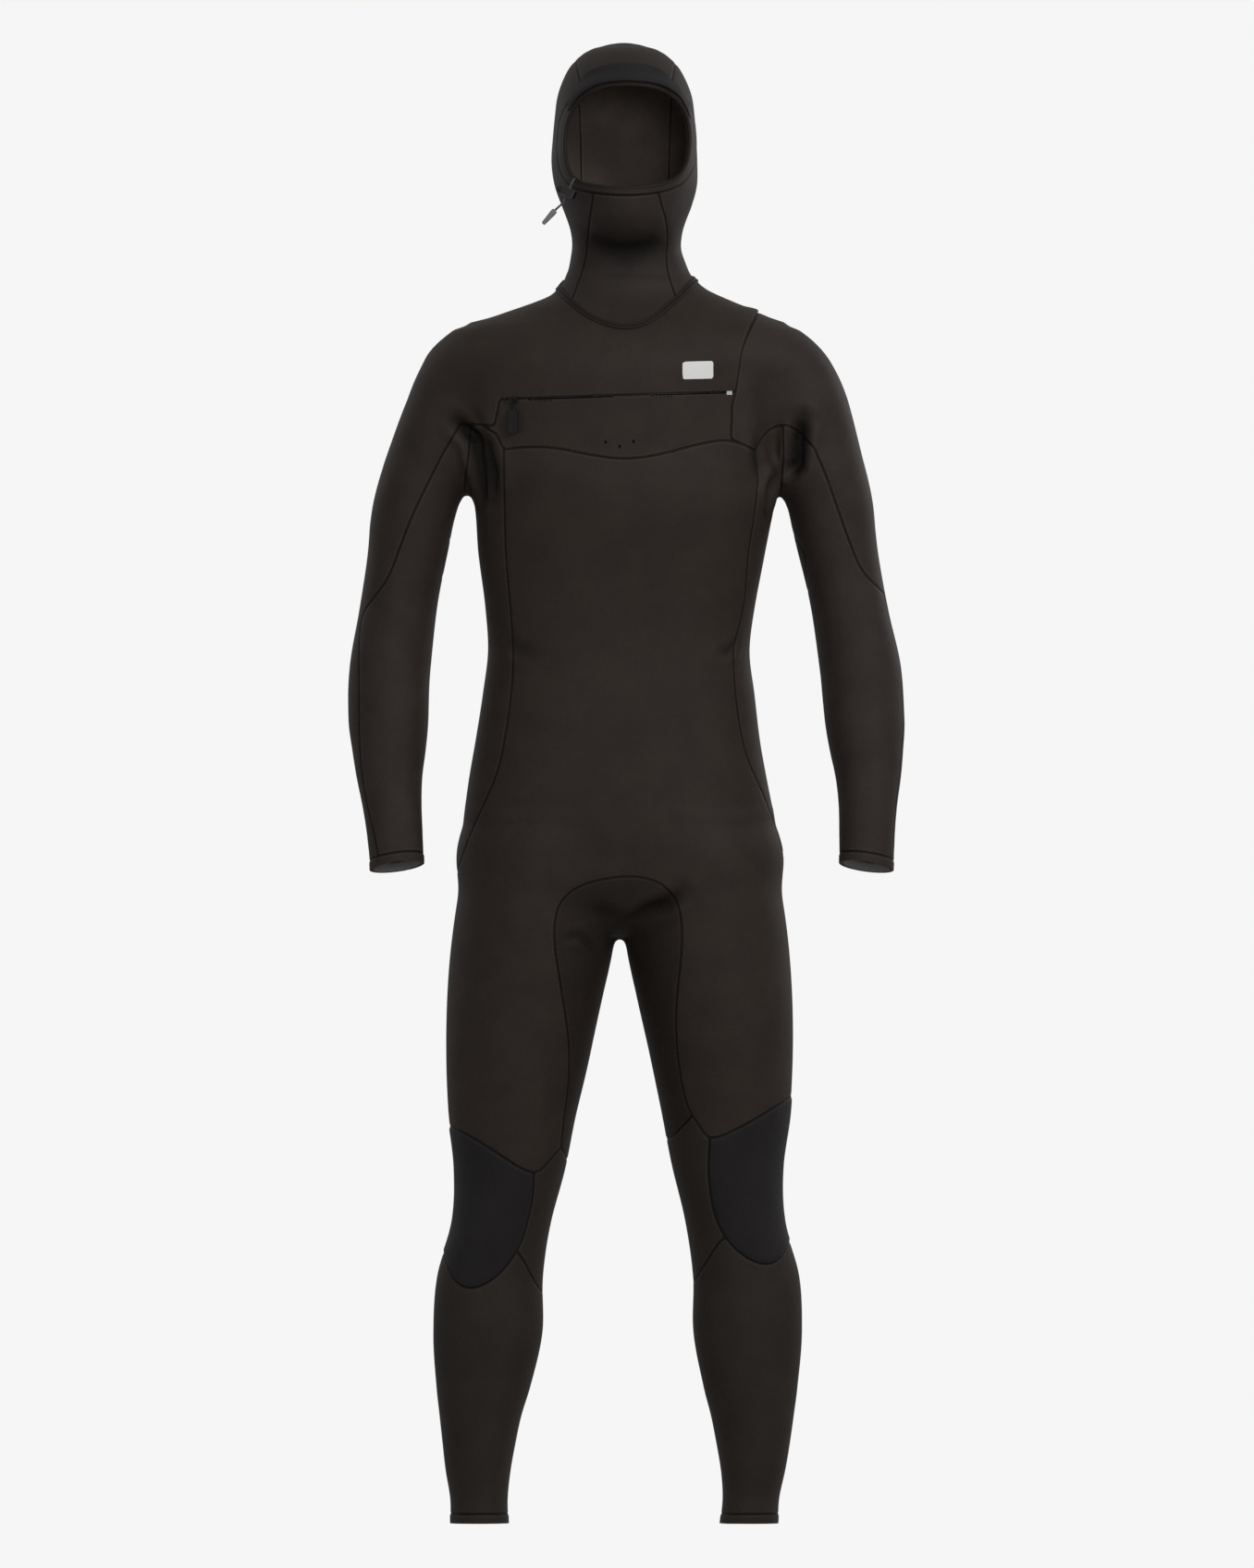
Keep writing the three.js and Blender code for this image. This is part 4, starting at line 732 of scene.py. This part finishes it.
# ---------------------------------------------------------------- build the sheet
def thicken(name, suit, tris, lift, inner):
    """One panel as a closed sheet: its outer face, its inner face, and the cut edge between."""
    used, local = np.unique(tris, return_inverse=True)
    tris = local.reshape(-1, 3)
    v = suit.v[used]
    lift = lift(v) if callable(lift) else lift
    inner = inner(v) if callable(inner) else inner
    outside = v[:, :3] + v[:, NX:NZ + 1] * (lift - v[:, DENT])[:, None]
    under = v[:, :3] - v[:, NX:NZ + 1] * (inner - 0.6 * v[:, DENT])[:, None]
    n = len(used)
    edges = np.concatenate([tris[:, [0, 1]], tris[:, [1, 2]], tris[:, [2, 0]]])
    key = np.sort(edges, 1)
    _, index, times = np.unique(key[:, 0] * n + key[:, 1], return_index=True, return_counts=True)
    rim = edges[index[times == 1]]
    a, b = rim[:, 0], rim[:, 1]
    wall_out = outside[rim.ravel()]
    wall_in = under[rim.ravel()]
    m = len(rim)
    i = 2 * n + 2 * np.arange(m)
    j = 2 * n + 2 * m + 2 * np.arange(m)
    faces = np.concatenate([tris, tris[:, ::-1] + n, np.stack([i + 1, i, j], 1), np.stack([i + 1, j, j + 1], 1)])
    points = np.concatenate([outside, under, wall_out, wall_in])
    kinds = np.repeat([0, 1, 0], [len(tris), len(tris), 2 * m])
    seam = np.concatenate([v[:, SEAM], v[:, SEAM], np.full(4 * m, NO_SEAM)])
    # painted fold shade: full on the outer face, 0.4 of it on the inner face
    fold = v[:, FOLD_SHADE]
    fold = np.concatenate([fold, 0.4 * fold, fold[rim.ravel()], 0.4 * fold[rim.ravel()]])
    return fast_mesh(name, metres(points), faces, kinds, {"seam": seam, "fold": fold})


# ---------------------------------------------------------------- beads and overlays
def rim_loops(tris):
    """Closed chains of the edges that only one triangle has, longest first, as vertex numbers."""
    edges = np.concatenate([tris[:, [0, 1]], tris[:, [1, 2]], tris[:, [2, 0]]])
    key = np.sort(edges, 1).astype(np.int64)
    _, index, times = np.unique(key[:, 0] * 10000000 + key[:, 1], return_index=True, return_counts=True)
    follow = dict(edges[index[times == 1]].tolist())
    chains = []
    while follow:
        start, at = follow.popitem()
        chain = [start]
        while at in follow:
            chain.append(at)
            at = follow.pop(at)
        chains.append(np.array(chain))
    return sorted(chains, key=len, reverse=True)


def even_line(v, loop, step=2.5, smooth=6):
    """A closed line of vertices as evenly spaced, smoothed points with their normals."""
    p, n = v[loop, :3], v[loop, NX:NZ + 1]
    closed = np.vstack([p, p[:1]])
    run = np.concatenate([[0], np.cumsum(np.linalg.norm(np.diff(closed, axis=0), axis=1))])
    count = int(run[-1] / step)
    at = np.linspace(0, run[-1], count, endpoint=False)
    q = np.stack([np.interp(at, run, closed[:, k]) for k in range(3)], 1)
    m = np.stack([np.interp(at, run, np.append(n[:, k], n[0, k])) for k in range(3)], 1)
    for _ in range(smooth):
        q = 0.5 * q + 0.25 * (np.roll(q, 1, 0) + np.roll(q, -1, 0))
        m = 0.5 * m + 0.25 * (np.roll(m, 1, 0) + np.roll(m, -1, 0))
    return q, m / np.linalg.norm(m, axis=1)[:, None]


def bead(line, radius, aside=0.0, out=0.0, flat=1.0, sides=12, pulse=0.0):
    """A rolled edge along a closed line on the surface: vertices in mm, and triangles."""
    q, m = line
    way = np.roll(q, -1, 0) - np.roll(q, 1, 0)
    way /= np.linalg.norm(way, axis=1)[:, None]
    across = np.cross(way, m)
    across /= np.linalg.norm(across, axis=1)[:, None]
    centre = q + across * aside + m * out
    n = len(q)
    turn = np.linspace(0, 2 * math.pi, sides, endpoint=False)
    swell = 1 + pulse * np.sin(np.arange(n) * 2 * math.pi * round(n / 3.2) / n)
    rings = (centre[:, None] + (across[:, None] * np.cos(turn)[:, None]
             + m[:, None] * flat * np.sin(turn)[:, None]) * radius * swell[:, None, None])
    i, k = np.meshgrid(np.arange(n), np.arange(sides), indexing="ij")
    a, b = i * sides + k, i * sides + (k + 1) % sides
    c, d = (i + 1) % n * sides + k, (i + 1) % n * sides + (k + 1) % sides
    tris = np.concatenate([np.stack([a, b, d], 2).reshape(-1, 3), np.stack([a, d, c], 2).reshape(-1, 3)])
    return rings.reshape(-1, 3), tris


def bead_object(name, beads, *materials):
    points, tris, slots, base = [], [], [], 0
    for number, (p, t) in enumerate(beads):
        points.append(p)
        tris.append(t + base)
        slots.append(np.full(len(t), min(number, len(materials) - 1)))
        base += len(p)
    points = np.concatenate(points)
    o = fast_mesh(name, metres(points), np.concatenate(tris), np.concatenate(slots),
                  {"seam": np.full(len(points), NO_SEAM)})
    paint(o, *materials)
    return o


def taken(suit, names, distance):
    """A copy of some panels' surface inside distance < 0, for a piece laid on top of them."""
    copy = Suit.__new__(Suit)
    copy.v, copy.panels = suit.v.copy(), {}
    copy.v[:, DENT] *= 0.3
    copy.v[:, SEAM] = NO_SEAM
    copy.rest = np.concatenate([suit.panels[n] for n in names])
    copy.cut("piece", distance, 0)
    return copy, copy.panels["piece"]


# ---------------------------------------------------------------- materials
def nodes_of(name):
    m = bpy.data.materials.new(name)
    m.use_nodes = True
    tree = m.node_tree
    return m, tree.nodes["Principled BSDF"], tree.nodes.new, tree.links.new


def noise(new, link, place, scale, detail):
    texture = new("ShaderNodeTexNoise")
    texture.inputs["Scale"].default_value = scale
    texture.inputs["Detail"].default_value = detail
    link(place, texture.inputs["Vector"])
    return texture.outputs["Fac"]


def multiplied(new, link, first, second, factor=1.0):
    mix = new("ShaderNodeMix")
    mix.data_type = "RGBA"
    mix.blend_type = "MULTIPLY"
    mix.inputs["Factor"].default_value = factor
    link(first, mix.inputs[6])
    link(second, mix.inputs[7])
    return mix.outputs[2]


def ranged(new, link, source, from_min, from_max, to_min, to_max, smooth=False):
    node = new("ShaderNodeMapRange")
    if smooth:
        node.interpolation_type = "SMOOTHSTEP"
    for key, value in (("From Min", from_min), ("From Max", from_max), ("To Min", to_min), ("To Max", to_max)):
        node.inputs[key].default_value = value
    link(source, node.inputs["Value"])
    return node.outputs["Result"]


def attribute(new, name):
    node = new("ShaderNodeAttribute")
    node.attribute_name = name
    return node.outputs["Fac"]


def bumped(new, link, shader, height, strength, distance):
    bump = new("ShaderNodeBump")
    bump.inputs["Strength"].default_value = strength
    bump.inputs["Distance"].default_value = distance
    link(height, bump.inputs["Height"])
    link(bump.outputs["Normal"], shader.inputs["Normal"])


def tint(new, link, source, low, high, start=0.35, end=0.65):
    ramp = new("ShaderNodeValToRGB")
    ramp.color_ramp.elements[0].position = start
    ramp.color_ramp.elements[1].position = end
    ramp.color_ramp.elements[0].color = (*low, 1)
    ramp.color_ramp.elements[1].color = (*high, 1)
    link(source, ramp.inputs["Fac"])
    return ramp.outputs["Color"]


def linear(r, g, b):
    """sRGB 0 to 255, as the linear colour a shader takes."""
    return tuple((c / 255 / 12.92) if c <= 10 else ((c / 255 + 0.055) / 1.055) ** 2.4 for c in (r, g, b))


STITCH_AWAY = 2.9  # the row of stitches is this far from the seam, in mm


def neoprene(name, colour, spread=0.10, sheen=0.03, rough=0.58, knit=0.5, seams=True):
    """Knitted jersey on foam: fine ribs, a slow mottle, a soft sheen, stitched seams, and painted shade in the
    folds.
    """
    m, shader, new, link = nodes_of(name)
    place = new("ShaderNodeTexCoord").outputs["Object"]
    base = linear(*colour)
    low, high = (tuple(c * k for c in base) for k in (1 - spread, 1 + spread))
    mottle = tint(new, link, noise(new, link, place, 26, 5), low, high)
    fine = noise(new, link, place, 900, 2)
    flecks = tint(new, link, fine, (0.72, 0.72, 0.72), (1.25, 1.25, 1.25), 0.3, 0.7)
    colour_out = multiplied(new, link, mottle, flecks, 0.5)
    ribs = new("ShaderNodeTexWave")
    ribs.wave_type = "BANDS"
    ribs.bands_direction = "X"
    ribs.inputs["Scale"].default_value = 420
    ribs.inputs["Distortion"].default_value = 1.2
    ribs.inputs["Detail"].default_value = 1
    link(place, ribs.inputs["Vector"])
    height = calculated(new, link, "MULTIPLY_ADD", ribs.outputs["Fac"], 0.5, fine)
    bumped(new, link, shader, height, knit, 0.00035)
    if seams:
        far = attribute(new, "seam")
        colour_out = multiplied(new, link, colour_out, ranged(new, link, far, 0.7, 1.9, 0.16, 1.0))
        away = calculated(new, link, "ABSOLUTE", calculated(new, link, "SUBTRACT", far, STITCH_AWAY))
        thread = ranged(new, link, away, 0.0, 0.7, 1.0, 0.0, smooth=True)
        stitch = new("ShaderNodeTexWave")
        stitch.bands_direction = "DIAGONAL"
        stitch.inputs["Scale"].default_value = 160
        link(place, stitch.inputs["Vector"])
        lit = new("ShaderNodeMix")
        lit.data_type = "RGBA"
        lit.inputs[7].default_value = (*[min(1, c * 1.9) for c in base], 1)
        link(calculated(new, link, "MULTIPLY", thread, stitch.outputs["Fac"]), lit.inputs["Factor"])
        link(colour_out, lit.inputs[6])
        colour_out = lit.outputs[2]
    # painted shade: the colour darkens with the fold attribute, to 0.22 of itself in the deepest folds
    painted_fold_shade = ranged(new, link, attribute(new, "fold"), 0.0, 1.0, 1.0, 0.22)
    link(multiplied(new, link, colour_out, painted_fold_shade), shader.inputs["Base Color"])
    shader.inputs["Roughness"].default_value = rough
    shader.inputs["Specular IOR Level"].default_value = 0.2
    shader.inputs["Sheen Weight"].default_value = sheen
    shader.inputs["Sheen Roughness"].default_value = 0.45
    shader.inputs["Sheen Tint"].default_value = (0.9, 0.85, 0.82, 1)
    return m


def moulded(name, colour, rough, metallic=0.0, grain=380, depth=0.15, spread=0.12):
    """Plastic, rubber or metal with a fine surface grain and slight wear."""
    m, shader, new, link = nodes_of(name)
    place = new("ShaderNodeTexCoord").outputs["Object"]
    grains = noise(new, link, place, grain, 4)
    base = linear(*colour)
    low, high = (tuple(min(1, c * k) for c in base) for k in (1 - spread, 1 + spread))
    link(tint(new, link, grains, low, high), shader.inputs["Base Color"])
    bumped(new, link, shader, grains, depth, 0.0003)
    shader.inputs["Roughness"].default_value = rough
    shader.inputs["Metallic"].default_value = metallic
    return m


def paint(o, *materials):
    if o.data.materials:
        o.data.materials.clear()  # this also puts every face back in the first slot
    for m in materials:
        o.data.materials.append(m)


# ---------------------------------------------------------------- the drawcord's free end
# Its route is the CAD cord's: out of the eyelet, through the lock, and into the end piece.
CORD_ROUTE = [
    [-59.34, -75.2, 1540.48], [-60.16, -76.3, 1539.94], [-61.65, -77.4, 1537.86], [-63.31, -77.53, 1534.22],
    [-65.4, -77.7, 1529.6], [-67.44, -77.86, 1525.12], [-69.3, -78.01, 1521.0], [-71.17, -78.16, 1516.93],
    [-72.3, -78.2, 1514.3], [-73.98, -77.64, 1512.0], [-75.8, -76.4, 1510.35], [-77.66, -75.09, 1508.7],
    [-79.3, -73.95, 1507.25], [-80.84, -73.12, 1505.86], [-82.15, -72.9, 1504.4], [-84.0, -72.6, 1502.3],
    [-85.81, -72.36, 1500.29]]
CORD_DIAMETER = 2.5


def free_cord():
    data = bpy.data.curves.new("drawcord_free_end", "CURVE")
    data.dimensions = "3D"
    data.bevel_depth = 1.0  # times each point's radius, so that the curve's own box stays small
    data.bevel_resolution = 4
    data.resolution_u = 8
    data.use_fill_caps = True
    spline = data.splines.new("BEZIER")
    route = metres(CORD_ROUTE)
    spline.bezier_points.add(len(route) - 1)
    for point, at in zip(spline.bezier_points, route):
        point.co = at
        point.radius = CORD_DIAMETER / 2000
        point.handle_left_type = point.handle_right_type = "AUTO"
    o = placed("drawcord_free_end", data)
    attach(o, "suit")
    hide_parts("drawcord_tail")
    return o


# ---------------------------------------------------------------- build
camera()
cord = free_cord()

MATS = {
    "body": neoprene("body_jersey", (50, 42, 37)),
    "sleeve": neoprene("sleeve_jersey", (52, 44, 41)),
    "gusset": neoprene("gusset_jersey", (40, 33, 28)),
    "calf": neoprene("calf_jersey", (46, 40, 35)),
    "hood": neoprene("hood_jersey", (50, 43, 40)),
    "visor": neoprene("visor_skin", (35, 33, 35), 0.06, 0.03, 0.6, 0.12, seams=False),
    "knee": neoprene("knee_print", (35, 32, 34), 0.08, 0.04, 0.6, 0.9),
    "hem": neoprene("hem_skin", (36, 31, 28), 0.08, 0.04, 0.6, 0.25, seams=False),
    "lining": neoprene("lining", (70, 62, 58), 0.1, 0.1, 0.85, 0.8),
    # the lining again, painted lighter to stand in for light inside the hood
    "hood_lining_painted_lighter": neoprene("hood_lining_painted_lighter", (104, 94, 88), 0.1, 0.1, 0.85, 0.8),
    # inside the wrist hems: pale, partly a lining colour and partly painted light seen inside the cuffs
    "pale": neoprene("cuff_lining_and_painted_light", (160, 158, 156), 0.05, 0.2, 0.8, 0.6, seams=False),
    "patch": moulded("patch_print", (243, 243, 242), 0.6, grain=900, depth=0.05, spread=0.02),
    "tape": moulded("zip_tape_weave", (12, 11, 11), 0.85, grain=1500, depth=0.6),
    "teeth": moulded("zip_teeth_plastic", (9, 8, 8), 0.5),
    "metal": moulded("zip_metal", (60, 60, 62), 0.28, 1.0, 240, 0.2),
    "silver": moulded("lock_gunmetal", (70, 70, 72), 0.22, 0.9, 600, 0.1),
    "end_piece": moulded("end_piece_plastic", (128, 128, 131), 0.35, grain=600),
    "rubber": moulded("pull_rubber", (8, 8, 8), 0.6, grain=700),
    "plastic": moulded("lock_plastic", (26, 26, 28), 0.4, grain=900),
    "grey": moulded("grey_plastic", (196, 196, 198), 0.45),
    "cord": moulded("cord_braid", (78, 77, 77), 0.75, grain=1800, depth=0.8),
}
LOOK = {"hood_throat_panel": "hood", "hood_crown_panel": "hood", "face_hem": "hood",
        "left_sleeve_panel": "sleeve", "wrist_hem_left": "sleeve", "crotch_gusset": "gusset"}
for side in ("left", "right"):
    for name, look in (("hood_side_panel_", "hood"), ("inner_sleeve_panel_", "sleeve"), ("knee_pad_", "knee"),
                       ("inner_knee_panel_", "calf"), ("calf_panel_", "calf"), ("ankle_hem_", "calf")):
        LOOK[name + side] = look

studio()
axes, field = body_field()
points, normals, tris = smooth_surface(axes, field)
folds = fold_depth(points)
points = points + normals * (waves(points) - folds)[:, None]
# the fold depths, over DARKEST, become the amount of painted shade each vertex gets
suit = Suit(points, normals, tris, np.clip(folds / DARKEST, 0, 1))
cut_panels(suit)


def flap_lift(v):
    """The flap's free edge stands over the shoulder."""
    best = np.full(len(v), 1e9)
    line = np.array(FLAP, float)
    for a, b in zip(line[:-1], line[1:]):
        e = b - a
        t = np.clip(((v[:, [X, Z]] - a) @ e) / (e @ e), 0, 1)
        best = np.minimum(best, np.linalg.norm(v[:, [X, Z]] - (a + t[:, None] * e), axis=1))
    fade = smoothstep(1292, 1312, v[:, Z])
    return 3.0 * (1 - smoothstep(0, 22, best)) * fade * (v[:, Y] < 30)


def tab_dip(v):
    """The lower chest panel gives way a little where the pull tab lies on it."""
    off = ((v[:, X] + 131) / 13) ** 2 + ((v[:, Z] - 1262) / 26) ** 2
    return -1.1 * np.exp(-off) * (v[:, Y] < 0)


def pad_lift(v):
    """The knee print stands a little proud, with a soft shoulder at its edge."""
    return 0.4 + 0.9 * smoothstep(0, 5, v[:, SEAM])


LIFT = {"knee_pad_left": pad_lift, "knee_pad_right": pad_lift, "face_hem": 1.2,
        "chest_flap_and_right_sleeve_panel": flap_lift, "chest_lower_panel": tab_dip}
for name, tris in suit.panels.items():
    look = LOOK.get(name, "body")
    lift = LIFT.get(name, 0.7 if "hem" in name else 0.0)
    inner = (lambda v: SHEET - flap_lift(v)) if lift is flap_lift else SHEET
    piece = thicken(name + "_sheet", suit, tris, lift, inner)
    # inside the hood the lining is painted lighter, standing in for light; inside the wrist hems it is pale,
    # partly painted light
    inside = "pale" if name.startswith("wrist") else "hood_lining_painted_lighter" if look == "hood" else "lining"
    paint(piece, MATS[look], MATS[inside])
    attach(piece, "suit")
    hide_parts(name)

# the rolled edges: one round the face opening, two side by side round the neck
face_bead = bead_object("face_rolled_edge", [bead(suit.face_line, 2.3, out=-0.6)], MATS["hem"])
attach(face_bead, "suit")
welt = bead_object("neck_double_welt", [bead(suit.neck_line, 2.0, 2.0, 0.3, 0.8, pulse=0.05),
                                        bead(suit.neck_line, 2.0, -2.0, 0.3, 0.8, pulse=0.05)], MATS["hem"])
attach(welt, "suit")
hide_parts("neck_welt")

# the brim over the face: a smooth skin that stands off the hood towards the opening
face_line = rounded(FACE)
HOOD_PANELS = ["face_hem", "hood_crown_panel", "hood_side_panel_left", "hood_side_panel_right"]


def brow(v):
    low = outline_distance(v[:, [X, Z]], face_line)[0]
    top = outline_distance(v[:, [X, Z]], rounded(BROW))[0]
    return np.maximum(np.maximum(1.2 - low, top), v[:, Y] + 12)


def brim_lift(v):
    low = outline_distance(v[:, [X, Z]], face_line)[0]
    ends = smoothstep(1604, 1648, v[:, Z])
    return 1.5 + (4.6 * (1 - smoothstep(2, 17, low)) + 0.8 * np.exp(-((low - 21) / 2.5) ** 2)) * ends


copy, tris = taken(suit, HOOD_PANELS, brow)
visor = thicken("brow_visor", copy, tris, brim_lift, lambda v: 0.4 - 0.72 * brim_lift(v))
paint(visor, MATS["visor"], MATS["visor"])
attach(visor, "suit")
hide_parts("hood_visor")

copy, tris = taken(suit, ["chest_flap_and_right_sleeve_panel"],
                   lambda v: region_distance(v, np.array(PATCH, float), None))
patch = thicken("plain_chest_patch", copy, tris, 0.75, -0.1)
paint(patch, MATS["patch"], MATS["patch"])
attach(patch, "suit")
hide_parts("chest_patch")

NODES_BY_LOOK = {
    "tape": ["zip_tape_upper", "zip_tape_lower", "zip_backing_flap"],
    "teeth": ["zip_teeth_upper", "zip_teeth_lower"],
    "metal": ["zip_end_stop", "zip_slider_body", "pull_link", "drawcord_eyelet"], "grey": ["zip_end_box"],
    "rubber": ["pull_tab"], "silver": ["cord_lock_body"], "plastic": ["cord_lock_button"],
    "end_piece": ["drawcord_end"], "cord": ["drawcord_loop"],
}
for look, names in NODES_BY_LOOK.items():
    for name in names:
        paint(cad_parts[name], MATS[look])
paint(cord, MATS["cord"])
